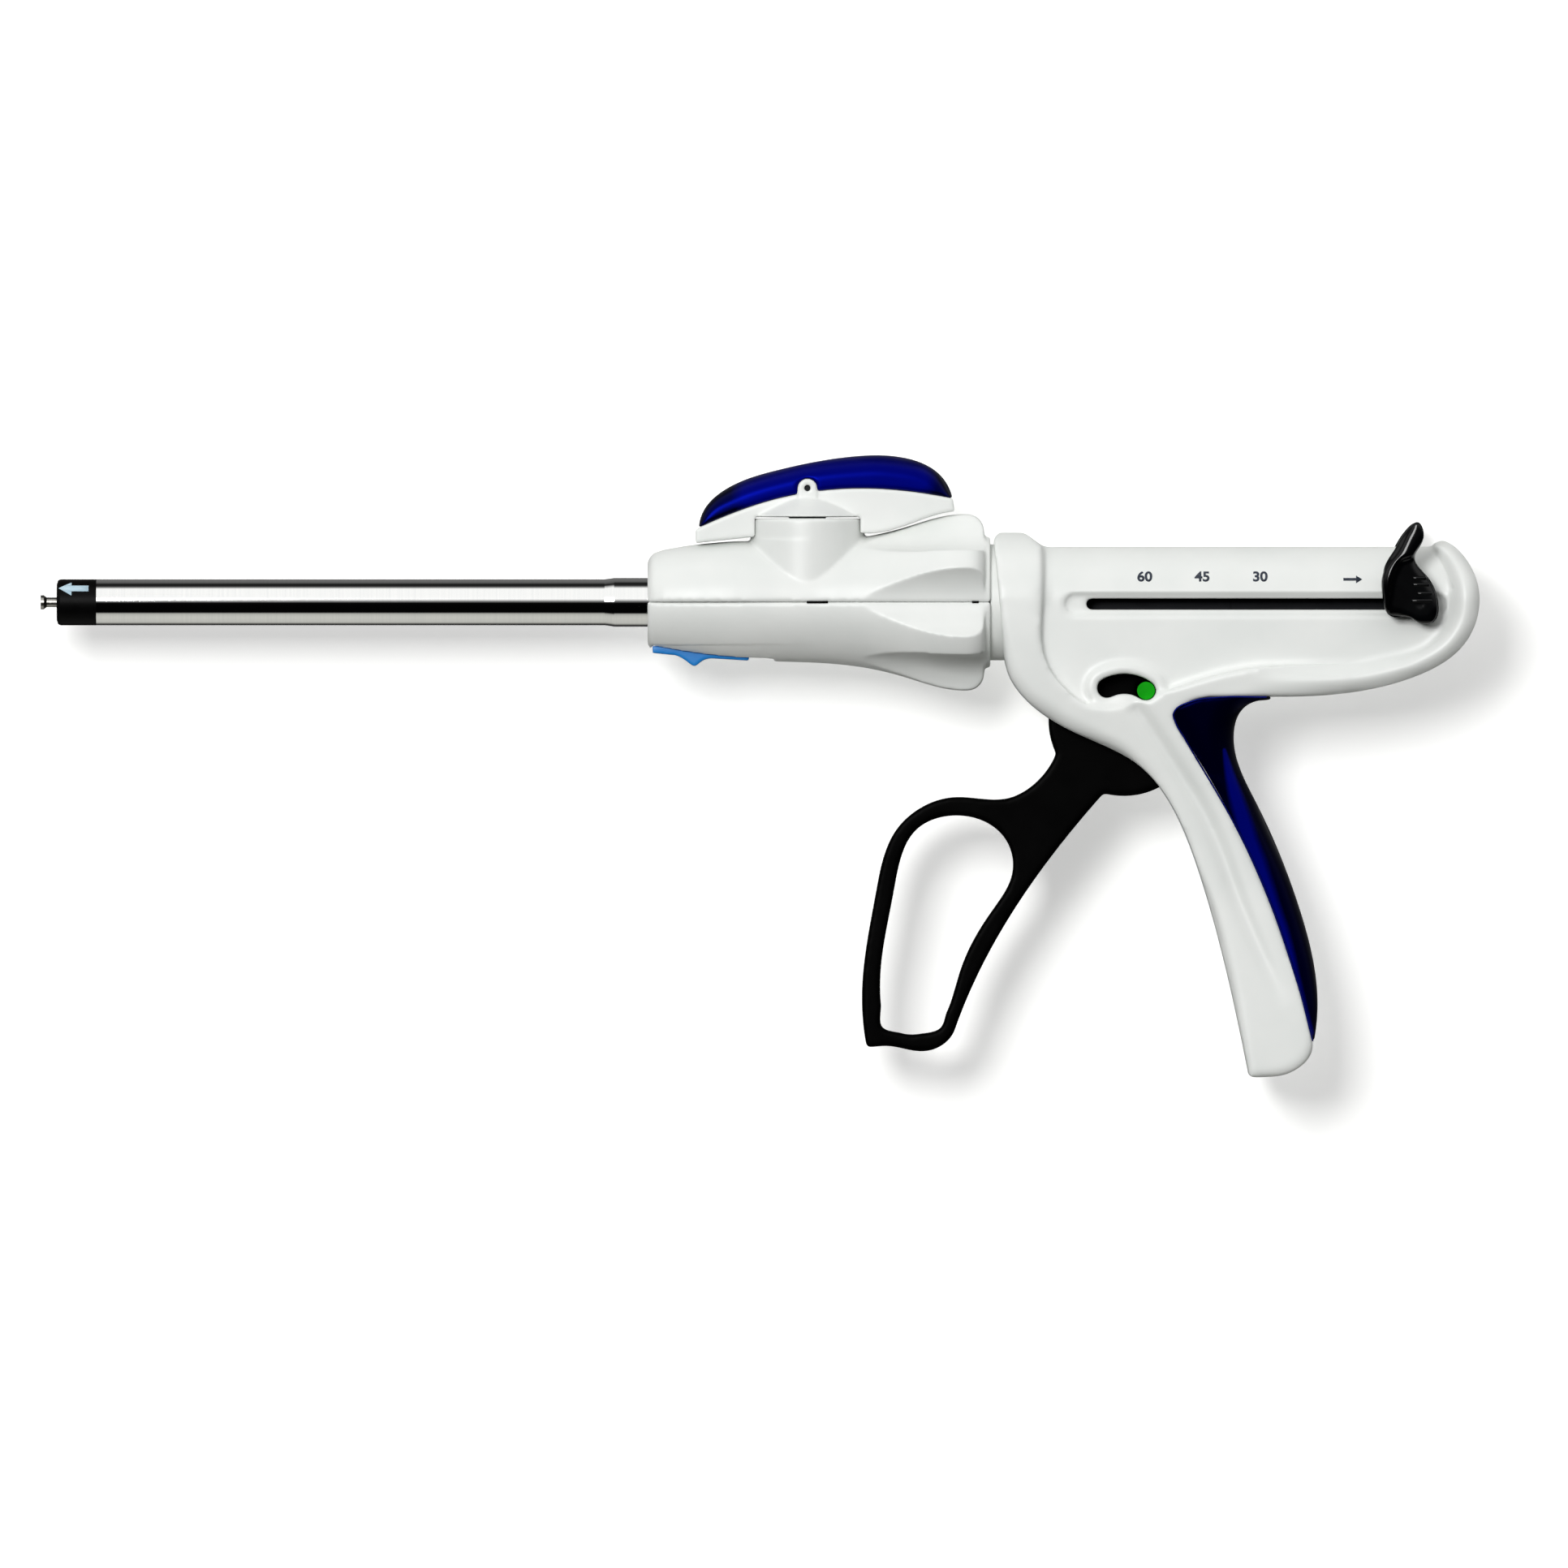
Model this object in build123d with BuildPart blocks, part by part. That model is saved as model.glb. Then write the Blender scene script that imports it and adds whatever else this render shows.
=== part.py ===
from build123d import *
import math
import os

os.makedirs("parts", exist_ok=True)

# Hand-held linear surgical stapler. X runs back along the shaft from the reload socket,
# Z is up and Y is across the grip. All sizes are in millimetres.

# Clearances
fit_gap = 0.1
run_gap = 0.3
seam_gap = 0.2

# Shaft
tube_radius = 6.0
tube_wall = 0.6
shaft_length = 153.8
collar_length = 10.3
spigot_length = 6.0
socket_radius = 4.2
flare_rise = 0.35
flare_lead = 11.2
flare_ramp = 2.5
tube_seat = 6.2
guide_length = 4.0
guide_stations = (0.2, 0.5, 0.8)

# Control rod
rod_radius = 2.0
tip_reach = 4.2
tip_radius = 1.85
tip_length = 0.8
neck_radius = 1.27

# Flat strips in the shaft
strip_width = 3.0
strip_thickness = 0.8
strip_level = 4.6
strip_front = 6.0

# Rotation knob
knob_length = 89.2
knob_nose_radius = 12.2
knob_nose_round = 1.7
knob_waist_radius = 15.2
waist_share = 0.289
throat_share = 0.583
throat_radius = 16.4
knob_crest_radius = 23.0
knob_flange_radius = 17.0
knob_flange_length = 1.5
flute_count = 6
flute_radius = 11.5
flute_floor = 17.0
knob_bore_radius = 11.0
anchor_radius = 9.6
anchor_length = 6.0
front_wall = 2.7
seal_section = 1.2

# Swivel collar between knob and handle
collar_spigot_radius = 12.8
collar_spigot_length = 7.0
swivel_radius = 15.1
flange_radius = 16.2
flange_width = 2.5
flange_setback = 6.0
tail_radius = 14.5
tail_length = 2.5
swivel_bore = 7.3

# Turret and articulation lever
turret_to_rear = 47.6
turret_radius = 14.8
turret_height = 21.8
turret_round = 0.6
lever_half_width = 7.0
lever_gap = 0.4
lever_stem_radius = 4.6
cam_stem_radius = 3.0
cam_radius = 13.2
cam_floor = 10.6
cam_thickness = 3.4
cam_mean_radius = 8.0
cam_rise_per_radian = 2.4
cam_swing = 62
follower_radius = 1.3
lug_radius = 2.4
lug_height = 29.7
lug_hole_radius = 0.85

# Unload slider
slider_half_width = 4.0
slider_front = 1.3
slider_length = 25.1
slider_travel = 6.0
slider_top = 11.4
slider_bottom = 15.2
stem_front = 12.0
stem_length = 4.0
stem_half_width = 2.0

# Handle
nose_gap = 0.8
nose_radius = 18.2
panel_radius = 14.6
barrel_bore = 12.0
shell_half_cavity = 11.0
nose_bore_depth = 4.6
groove_depth = 8.2
bush_depth = 10.8
slot_level = -0.5
slot_front = 24.05
slot_tail = 1.35
slot_width = 2.85
recess_margin = 5.7
recess_width = 5.7
recess_floor = 13.5
boss_radius = 4.0
boss_gap = 8.4
pin_radius = 2.0
small_pin_radius = 1.2

# Trigger
pivot_setback = 34.0
pivot_drop = 30.8
trigger_half_width = 7.0
hub_radius = 19.65
window_gap = 0.65
window_half_width = 8.0
pawl_slot_half_width = 3.5
pawl_slot_floor = 8.0
pawl_reach = 15.0
pawl_lean = 20
button_reach = 9.6
button_lean = 35.9
button_sweep = 64.3
button_radius = 2.3
plunger_radius = 2.0
plunger_half_length = 10.5
cap_half_length = 15.2
kidney_width = 5.2
kidney_rim = 2.6
kidney_rim_height = 1.2

# Rack
rack_setback = 18.2
rack_length = 96.0
rack_half_width = 4.0
rack_top = 5.0
rack_bottom = 5.5
tooth_pitch = 3.0
tooth_depth = 1.5
tooth_margin = 18.0
coupling_inset = 3.4
barrel_tail = 12.2
coupling_radius = 1.1
guide_setback = 12.2
guide_width = 10.0
plate_thickness = 1.0
plate_length = 52.0

# Retraction knobs
puller_gap = 0.8
puller_depth = 8.0

# Stop pawl
stop_setback = 60.2
stop_drop = 14.0

# Worked-out places
tube_bore = tube_radius - tube_wall
tube_end = shaft_length + tube_seat
flare_radius = tube_radius + flare_rise
knob_rear = shaft_length + knob_length
handle_front = knob_rear + nose_gap
turret_setback = knob_length - turret_to_rear
turret_x = shaft_length + turret_setback
pivot_x = handle_front + pivot_setback
pivot_z = -pivot_drop
rack_front = handle_front + rack_setback
rack_rear = rack_setback + rack_length
tooth_count = int((rack_length - tooth_margin) / tooth_pitch)
barrel_rear = rack_rear + barrel_tail
coupling_setback = rack_rear - coupling_inset
coupling_x = handle_front + coupling_setback
slot_rear = coupling_setback + slot_tail
slot_length = slot_rear - slot_front
slot_centre = (slot_front + slot_rear) / 2
recess_length = slot_length + 2 * recess_margin
stop_x = handle_front + stop_setback
strip_slot = strip_width + 2 * run_gap
strip_top = strip_level + strip_thickness / 2
follower_x = turret_x - cam_mean_radius
cam_top = cam_floor + cam_thickness


def side(x=0.0, z=0.0):
    return Plane(origin=(x, 0, z), x_dir=(1, 0, 0), z_dir=(0, -1, 0))


def across(x):
    return Plane.YZ.offset(x)


def polar(reach, lean):
    return (reach * math.sin(math.radians(lean)), reach * math.cos(math.radians(lean)))


def keep(piece, name):
    piece.part.label = name
    export_step(piece.part, f"parts/{name}.step")


# Reload collar at the tip of the shaft, with slots for the two strips
with BuildPart() as reload_collar:
    with BuildSketch(across(0)):
        Circle(tube_radius)
    extrude(amount=collar_length)
    fillet(reload_collar.edges().sort_by(Axis.X)[0], tube_wall * 2)
    with BuildSketch(across(collar_length)):
        Circle(tube_bore - fit_gap)
    extrude(amount=spigot_length)
    with BuildSketch(across(0)):
        Circle(socket_radius)
        Rectangle(strip_slot, 2 * (strip_top + run_gap))
    extrude(amount=collar_length + spigot_length, mode=Mode.SUBTRACT)
keep(reload_collar, "reload_collar")

# Steel tube, flared where it enters the knob
with BuildPart() as shaft_tube:
    with BuildSketch(side()):
        with BuildLine():
            Polyline(
                (collar_length, tube_bore),
                (collar_length, tube_radius),
                (shaft_length - flare_lead, tube_radius),
                (shaft_length - flare_lead + flare_ramp, flare_radius),
                (tube_end, flare_radius),
                (tube_end, tube_bore),
                close=True,
            )
        make_face()
    revolve(axis=Axis.X)
keep(shaft_tube, "shaft_tube")

# Guides that centre the control rod in the tube
with BuildPart() as rod_guides:
    for share in guide_stations:
        with BuildSketch(across(share * shaft_length)):
            Circle(tube_bore - fit_gap)
            Circle(rod_radius + run_gap, mode=Mode.SUBTRACT)
            with Locations((0, strip_level), (0, -strip_level)):
                Rectangle(strip_slot, strip_thickness + 2 * run_gap, mode=Mode.SUBTRACT)
            with Locations((0, tube_bore), (0, -tube_bore)):
                Rectangle(strip_slot, 2 * (tube_bore - strip_level), mode=Mode.SUBTRACT)
        extrude(amount=guide_length)
keep(rod_guides, "rod_guides")

# Control rod from the reload to the rack, with a headed tip and a necked tail
with BuildPart() as control_rod:
    with BuildSketch(side()):
        with BuildLine():
            Polyline(
                (-tip_reach, 0),
                (-tip_reach, tip_radius),
                (tip_length - tip_reach, tip_radius),
                (2 * tip_length - tip_reach, neck_radius),
                (tip_reach, neck_radius),
                (tip_reach + tip_length, rod_radius),
                (rack_front + run_gap, rod_radius),
                (rack_front + run_gap, neck_radius),
                (rack_front + run_gap + 2, neck_radius),
                (rack_front + run_gap + 2, rod_radius),
                (rack_front + run_gap + 4, rod_radius),
                (rack_front + run_gap + 4, 0),
                close=True,
            )
        make_face()
    revolve(axis=Axis.X)
keep(control_rod, "control_rod")

# Bush that holds the tube in the knob, and the ring that seals the knob's mouth
anchor_front = shaft_length + front_wall + fit_gap
with BuildPart() as tube_anchor:
    with BuildSketch(across(anchor_front)):
        Circle(anchor_radius)
        Circle(flare_radius + fit_gap / 2, mode=Mode.SUBTRACT)
    extrude(amount=anchor_length)
keep(tube_anchor, "tube_anchor")

with BuildPart() as shaft_seal:
    with BuildSketch(across(shaft_length + front_wall - seal_section)):
        Circle(flare_radius + seal_section)
        Circle(flare_radius + fit_gap / 2, mode=Mode.SUBTRACT)
    extrude(amount=seal_section)
keep(shaft_seal, "shaft_seal")

# Rotation knob: a fluted turning, hollow, cut into an upper and a lower half
nose_flat = knob_nose_radius - knob_nose_round
seal_room = seal_section + 2 * fit_gap
seal_bore = flare_radius + seal_section + fit_gap
with BuildPart() as knob_body:
    with BuildSketch(side(shaft_length)):
        with BuildLine():
            Line((0, 0), (0, nose_flat))
            TangentArc((0, nose_flat), (knob_nose_round, knob_nose_radius), tangent=(0, 1))
            Spline(
                (knob_nose_round, knob_nose_radius),
                (waist_share * knob_length, knob_waist_radius),
                (throat_share * knob_length, throat_radius),
                (knob_length - 22.6, knob_crest_radius - 3.6),
                (knob_length - 6.4, knob_crest_radius),
                tangents=((1, 0.2), (1, 0)),
            )
            Spline(
                (knob_length - 6.4, knob_crest_radius),
                (knob_length - 2.7, knob_crest_radius - 1.5),
                (knob_length - knob_flange_length, knob_flange_radius),
                tangents=((1, 0), (0, -1)),
            )
            Polyline(
                (knob_length - knob_flange_length, knob_flange_radius),
                (knob_length, knob_flange_radius),
                (knob_length, 0),
                (0, 0),
            )
        make_face()
    revolve(axis=Axis.X)
    with BuildSketch(across(shaft_length)):
        with PolarLocations(flute_floor + flute_radius, flute_count):
            Circle(flute_radius)
    extrude(amount=knob_length - knob_flange_length, mode=Mode.SUBTRACT)
    with BuildSketch(Plane.XY):
        with Locations((turret_x, 0)):
            Circle(turret_radius)
    extrude(amount=turret_height)
    fillet(knob_body.edges().group_by(Axis.Z)[-1], turret_round)
    # bores for seal, tube bush, drive parts and swivel collar
    for start, length, radius in (
        (0, knob_length, flare_radius + fit_gap),
        (front_wall - seal_section - fit_gap, seal_room, seal_bore),
        (front_wall, anchor_length + 2 * fit_gap, anchor_radius + fit_gap),
        (front_wall + anchor_length + fit_gap, knob_length, swivel_bore),
        (front_wall + anchor_length + 6, turret_setback - 10, knob_bore_radius),
        (turret_setback + 5, knob_length - turret_setback - 14, flute_floor - 3.6),
        (knob_length - collar_spigot_length, collar_spigot_length, collar_spigot_radius + fit_gap),
    ):
        with BuildSketch(across(shaft_length + start)):
            Circle(radius)
        extrude(amount=min(length, knob_length - start), mode=Mode.SUBTRACT)

with BuildPart() as knob_upper:
    add(knob_body.part)
    split(bisect_by=Plane.XY.offset(seam_gap / 2), keep=Keep.TOP)
    with BuildSketch(Plane.XY.offset(seam_gap)):
        with Locations((turret_x, 0)):
            Circle(cam_radius + run_gap)
    extrude(amount=cam_top + run_gap - seam_gap, mode=Mode.SUBTRACT)
    with BuildSketch(Plane.XY.offset(cam_top)):
        with Locations((turret_x, 0)):
            Circle(lever_stem_radius + run_gap)
    extrude(amount=turret_height, mode=Mode.SUBTRACT)
keep(knob_upper, "knob_upper")

slider_x = shaft_length + slider_front
slider_room = slider_length + slider_travel + 2 * run_gap
stem_x = shaft_length + stem_front
with BuildPart() as knob_lower:
    add(knob_body.part)
    split(bisect_by=Plane.XY.offset(-seam_gap / 2), keep=Keep.BOTTOM)
    with BuildSketch(Plane.XY.offset(run_gap - slider_top)):
        with Locations((slider_x - run_gap, 0)):
            Rectangle(slider_room, 2 * (slider_half_width + run_gap), align=(Align.MIN, Align.CENTER))
    extrude(amount=-knob_crest_radius, mode=Mode.SUBTRACT)
    with BuildSketch(Plane.XY.offset(-slider_top - 1)):
        with Locations((stem_x - run_gap, 0)):
            Rectangle(
                stem_length + slider_travel + 2 * run_gap,
                2 * (stem_half_width + run_gap),
                align=(Align.MIN, Align.CENTER),
            )
    extrude(amount=slider_top - anchor_radius / 2, mode=Mode.SUBTRACT)
keep(knob_lower, "knob_lower")

# Swivel collar: turns with the knob, its flange caught in the handle's nose
with BuildPart() as swivel_collar:
    with BuildSketch(side(knob_rear)):
        with BuildLine():
            Polyline(
                (-collar_spigot_length, swivel_bore),
                (-collar_spigot_length, collar_spigot_radius),
                (0, collar_spigot_radius),
                (0, swivel_radius),
                (flange_setback, swivel_radius),
                (flange_setback, flange_radius),
                (flange_setback + flange_width, flange_radius),
                (flange_setback + flange_width, tail_radius),
                (flange_setback + flange_width + tail_length, tail_radius),
                (flange_setback + flange_width + tail_length, swivel_bore),
                close=True,
            )
        make_face()
    revolve(axis=Axis.X)
keep(swivel_collar, "swivel_collar")

# Articulation lever: white base with a hub on the turret, navy cap above it
lever_rise = turret_height + lever_gap
lever_seam = [
    (-28.3, 19.4), (-18.1, 23.7), (-8.4, 26.8), (2.6, 28.9), (12.3, 29.6), (23.1, 29.2), (37.8, 27.0)
]
with BuildPart() as lever_base:
    with BuildSketch(side(turret_x)):
        with BuildLine():
            Spline(*lever_seam)
            Polyline(lever_seam[-1], (38.3, 23.7))
            Spline((38.3, 23.7), (30.2, 21.7), (20.5, 18.5), (15.0, 18.0))
            Polyline((15.0, 18.0), (0, 18.0), (-15.5, 16.9), (-29.1, 15.4), (-29.1, 18.8), lever_seam[0])
        make_face()
    extrude(amount=lever_half_width, both=True)
    with BuildSketch(Plane.XY.offset(lever_rise)):
        with Locations((turret_x, 0)):
            Circle(turret_radius)
    with BuildSketch(Plane.XY.offset(lever_rise + 5)):
        with Locations((turret_x, 0)):
            Circle(lever_half_width)
    loft()
    with BuildSketch(side(turret_x, lug_height)):
        Circle(lug_radius)
        with Locations((0, -lug_radius)):
            Rectangle(2 * lug_radius, 2 * lug_radius)
    extrude(amount=lever_half_width + run_gap, both=True)
    with BuildSketch(Plane.XY):
        with Locations((turret_x, 0)):
            Circle(turret_radius + lever_gap)
    extrude(amount=lever_rise, mode=Mode.SUBTRACT)
    with BuildSketch(Plane.XY.offset(cam_top + run_gap)):
        with Locations((turret_x, 0)):
            Circle(lever_stem_radius)
    extrude(amount=lever_rise - cam_top)
    with BuildSketch(Plane.XY.offset(cam_floor)):
        with Locations((turret_x, 0)):
            Circle(cam_stem_radius)
    extrude(amount=lever_rise - cam_floor)
    with BuildSketch(side(turret_x, lug_height)):
        Circle(lug_hole_radius)
    extrude(amount=2 * lever_half_width, both=True, mode=Mode.SUBTRACT)
    with BuildSketch(Plane.XY.offset(cam_floor)):
        with Locations((turret_x, 0)):
            Circle(cam_stem_radius / 2)
    extrude(amount=lever_rise - cam_floor, mode=Mode.SUBTRACT)
keep(lever_base, "lever_base")

with BuildPart() as lever_cap:
    with BuildSketch(side(turret_x, fit_gap / 2)):
        with BuildLine():
            Spline(*lever_seam)
            Spline(
                lever_seam[-1],
                (32.8, 34.6),
                (22.6, 38.0),
                (12.5, 38.0),
                (-7.8, 34.4),
                (-21.3, 29.4),
                (-26.3, 25.0),
                lever_seam[0],
            )
        make_face()
    extrude(amount=lever_half_width, both=True)
    with BuildSketch(side(turret_x, lug_height)):
        Circle(lug_radius + fit_gap)
        with Locations((0, -lug_radius)):
            Rectangle(2 * (lug_radius + fit_gap), 2 * lug_radius)
    extrude(amount=2 * lever_half_width, both=True, mode=Mode.SUBTRACT)
keep(lever_cap, "lever_cap")

with BuildPart() as lever_cross_pin:
    with BuildSketch(side(turret_x, lug_height)):
        Circle(lug_hole_radius - fit_gap / 2)
    extrude(amount=lever_half_width - lug_hole_radius, both=True)
keep(lever_cross_pin, "lever_cross_pin")

# Cam disc on the lever's stem, with a spiral slot that shifts the follower pin
def spiral(offset):
    points = []
    for step in range(-3, 4):
        turn = math.radians(cam_swing * step / 3)
        reach = cam_mean_radius + cam_rise_per_radian * turn + offset
        points.append((-reach * math.cos(turn), reach * math.sin(turn)))
    return points


slot_inner = spiral(-follower_radius - run_gap)
slot_outer = spiral(follower_radius + run_gap)
with BuildPart() as articulation_cam:
    with BuildSketch(Plane(origin=(turret_x, 0, cam_floor))):
        Circle(cam_radius)
        Circle(cam_stem_radius + fit_gap / 2, mode=Mode.SUBTRACT)
        with BuildLine():
            Spline(*slot_inner)
            Line(slot_inner[-1], slot_outer[-1])
            Spline(*slot_outer)
            Line(slot_outer[0], slot_inner[0])
        make_face(mode=Mode.SUBTRACT)
    extrude(amount=cam_thickness)
keep(articulation_cam, "articulation_cam")

with BuildPart() as lever_screw:
    with BuildSketch(Plane(origin=(turret_x, 0, cam_floor))):
        Circle(cam_stem_radius / 2 - fit_gap / 2)
    extrude(amount=lever_rise - cam_floor - run_gap)
    with BuildSketch(Plane(origin=(turret_x, 0, cam_floor))):
        Circle(cam_stem_radius * 1.3)
    extrude(amount=-1.2)
    with BuildSketch(Plane(origin=(turret_x, 0, cam_floor - 1.2))):
        RegularPolygon(radius=cam_stem_radius / 2, side_count=6)
    extrude(amount=0.6, mode=Mode.SUBTRACT)
keep(lever_screw, "lever_screw")

# Articulation strip: low in the tube, stepped up to pass under the cam, with its follower pin
strip_step = tube_end + 8
cam_plate_level = cam_floor - 1.8
with BuildPart() as articulation_rod:
    with BuildSketch(side()):
        with BuildLine():
            Polyline(
                (strip_front, strip_level - strip_thickness / 2),
                (strip_step, strip_level - strip_thickness / 2),
                (strip_step + 6, cam_plate_level - strip_thickness),
                (follower_x + 2, cam_plate_level - strip_thickness),
                (follower_x + 2, cam_plate_level),
                (strip_step + 6 - strip_thickness, cam_plate_level),
                (strip_step - strip_thickness, strip_top),
                (strip_front, strip_top),
                close=True,
            )
        make_face()
    extrude(amount=strip_width / 2, both=True)
    with BuildSketch(Plane(origin=(follower_x, 0, cam_plate_level - strip_thickness))):
        Circle(follower_radius / 2 + fit_gap / 2)
    extrude(amount=strip_thickness, mode=Mode.SUBTRACT)
keep(articulation_rod, "articulation_rod")

with BuildPart() as follower_pin:
    with BuildSketch(Plane(origin=(follower_x, 0, cam_plate_level - strip_thickness))):
        Circle(follower_radius / 2)
    extrude(amount=strip_thickness)
    with BuildSketch(Plane(origin=(follower_x, 0, cam_plate_level))):
        Circle(follower_radius)
    extrude(amount=cam_top - run_gap - cam_plate_level)
keep(follower_pin, "follower_pin")

# Unload slider under the knob, with the lock bar that it draws back
with BuildPart() as unload_slider:
    with BuildSketch(side(slider_x)):
        with BuildLine():
            Polyline(
                (0, -slider_top),
                (slider_length, -slider_top),
                (slider_length, -slider_bottom),
                (15.5, 0.6 - slider_bottom),
            )
            Spline(
                (15.5, 0.6 - slider_bottom),
                (11.0, -slider_bottom - 1.4),
                (6.0, 1.4 - slider_bottom),
                tangents=((-1, 0), (-1, 0.3)),
            )
            Polyline((6.0, 1.4 - slider_bottom), (0, 2.0 - slider_bottom), (0, -slider_top))
        make_face()
    extrude(amount=slider_half_width, both=True)
    with BuildSketch(Plane.XY.offset(-slider_top)):
        with Locations((stem_x, 0)):
            Rectangle(stem_length, 2 * stem_half_width, align=(Align.MIN, Align.CENTER))
    extrude(amount=slider_top - strip_top)
keep(unload_slider, "unload_slider")

with BuildPart() as lock_bar:
    with BuildSketch(side()):
        with Locations((strip_front, strip_thickness / 2 - strip_level)):
            Rectangle(stem_x + stem_length - strip_front, strip_thickness, align=(Align.MIN, Align.MAX))
    extrude(amount=strip_width / 2, both=True)
keep(lock_bar, "lock_bar")

# Handle: one outline seen from the side, trimmed to an arched section, with sunk side panels
handle_side = side(handle_front)
with BuildPart() as handle_section:
    with BuildSketch(across(handle_front - 10)):
        with BuildLine():
            RadiusArc((-nose_radius, 0), (nose_radius, 0), nose_radius)
            Spline((nose_radius, 0), (nose_radius - 0.8, -20), (15.0, -45), (14.2, -85), (14.6, -130))
            Line((14.6, -130), (-14.6, -130))
            Spline((-14.6, -130), (-14.2, -85), (-15.0, -45), (0.8 - nose_radius, -20), (-nose_radius, 0))
        make_face()
    extrude(amount=barrel_rear + 20)

with BuildPart() as panel_core:
    with BuildSketch(across(handle_front)):
        Circle(panel_radius)
        with Locations((0, -nose_radius)):
            Rectangle(2 * panel_radius, 2 * nose_radius)
    extrude(amount=barrel_rear + 10)

panel_rear = barrel_rear - 12.1
with BuildPart() as panel_sides:
    with BuildSketch(handle_side):
        with BuildLine():
            Polyline(
                (panel_rear, panel_radius), (panel_rear, 25), (12.9, 25), (12.9, panel_radius)
            )
            Spline(
                (12.9, panel_radius),
                (15.4, -18.6),
                (25.6, -27.0),
                (40.0, -25.0),
                (63.6, -17.7),
                (barrel_rear - 25.8, -15.4),
                (barrel_rear - 8.9, -5.9),
                (barrel_rear - 7.4, 2.5),
                (panel_rear, panel_radius),
                tangents=((0.05, -1), (-0.5, 1)),
            )
        make_face()
    extrude(amount=30, both=True)
    add(panel_core.part, mode=Mode.SUBTRACT)

button_arc = CenterArc((pivot_setback, pivot_z), button_reach, 90 - button_lean, button_sweep)
with BuildPart() as handle_outline:
    with BuildSketch(handle_side):
        with BuildLine():
            Polyline((1.5, 0), (0, 16.3), (1.3, nose_radius), (8.0, nose_radius), (12.9, panel_radius))
            Line((12.9, panel_radius), (barrel_rear - 15.4, panel_radius))
            Spline(
                (barrel_rear - 15.4, panel_radius),
                (barrel_rear - 10.0, 16.3),
                (barrel_rear - 2.6, 9.9),
                (barrel_rear, 0),
                (barrel_rear - 3.7, -10.6),
                (barrel_rear - 17.4, -19.6),
                (barrel_rear - 41.7, -24.3),
                (58.3, -24.7),
            )
            Spline((58.3, -24.7), (51.0, -25.9), (46.9, -28.6))
            Spline((46.9, -28.6), (47.3, -31.3), (49.7, -35.5), (66.3, -65.1), (79.0, -98.9), (83.0, -114.5))
            Spline((83.0, -114.5), (79.4, -121.1), (66.6, -123.6), tangents=((0.1, -1), (-1, 0)))
            Spline(
                (66.6, -123.6),
                (53.9, -71.4),
                (37.2, -42.0),
                (16.1, -31.3),
                (5.5, -21.8),
                (1.5, 0),
                tangents=((-0.2, 1), (-0.1, 1)),
            )
        make_face()
    extrude(amount=2 * nose_radius, both=True)

with BuildPart() as handle_body:
    add(handle_outline.part)
    add(handle_section.part, mode=Mode.INTERSECT)
    add(panel_sides.part, mode=Mode.SUBTRACT)
    # raised rim round the safety button's window
    with BuildSketch(handle_side):
        SlotArc(button_arc, kidney_width + 2 * kidney_rim)
    extrude(amount=panel_radius + kidney_rim_height, both=True)
    # barrel, lower cavity, nose bores
    with BuildSketch(across(handle_front + groove_depth)):
        Circle(barrel_bore)
    extrude(amount=barrel_rear - 9.4 - groove_depth, mode=Mode.SUBTRACT)
    with BuildSketch(handle_side):
        with BuildLine():
            Polyline(
                (12, 0), (12, -15), (15, -23), (24, -30), (38, -38.5), (48, -52), (56, -71), (64, -98),
                (69, -119), (77, -117), (78.5, -112), (75, -98), (69, -82), (62, -65), (54, -49),
                (46, -36.5), (43.5, -28), (47, -22), (60, -20.5), (barrel_rear - 41.4, -20),
                (barrel_rear - 26.4, -17.5), (barrel_rear - 14.4, -11), (barrel_rear - 10.4, 0), close=True,
            )
        make_face()
    extrude(amount=shell_half_cavity, both=True, mode=Mode.SUBTRACT)
    for start, stop, radius in (
        (-1, nose_bore_depth, swivel_radius + run_gap),
        (nose_bore_depth, groove_depth, flange_radius + run_gap),
        (groove_depth, bush_depth, tail_radius + run_gap),
    ):
        with BuildSketch(across(handle_front + start)):
            Circle(radius)
        extrude(amount=stop - start, mode=Mode.SUBTRACT)
    # bosses for the trigger pin and the stop pawl pin
    for y_side in (-1, 1):
        boss_face = Plane(origin=(handle_front, y_side * boss_gap, 0), x_dir=(1, 0, 0), z_dir=(0, y_side, 0))
        with BuildSketch(boss_face):
            with Locations((pivot_setback, -y_side * pivot_z)):
                Circle(boss_radius)
            with Locations((stop_setback, y_side * stop_drop)):
                Circle(boss_radius - 1)
        extrude(amount=shell_half_cavity - boss_gap + 1)
    with BuildSketch(handle_side):
        with Locations((pivot_setback, pivot_z)):
            Circle(pin_radius + fit_gap / 2)
        with Locations((stop_setback, -stop_drop)):
            Circle(small_pin_radius + fit_gap / 2)
    extrude(amount=shell_half_cavity + 1.5, both=True, mode=Mode.SUBTRACT)
    # slot for the retraction rod in a sunk track, windows for the button and the trigger
    for length, width, floor in ((recess_length, recess_width, recess_floor), (slot_length, slot_width, 0)):
        for y_side in (-1, 1):
            track = Plane(origin=(handle_front, y_side * floor, 0), x_dir=(1, 0, 0), z_dir=(0, y_side, 0))
            with BuildSketch(track):
                with Locations((slot_centre, -y_side * slot_level)):
                    SlotOverall(length, width)
            extrude(amount=2 * nose_radius, mode=Mode.SUBTRACT)
    with BuildSketch(handle_side):
        SlotArc(button_arc, kidney_width)
    extrude(amount=2 * nose_radius, both=True, mode=Mode.SUBTRACT)
    with BuildSketch(handle_side):
        with Locations((pivot_setback, pivot_z)):
            Circle(hub_radius + window_gap)
    extrude(amount=window_half_width, both=True, mode=Mode.SUBTRACT)

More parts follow.
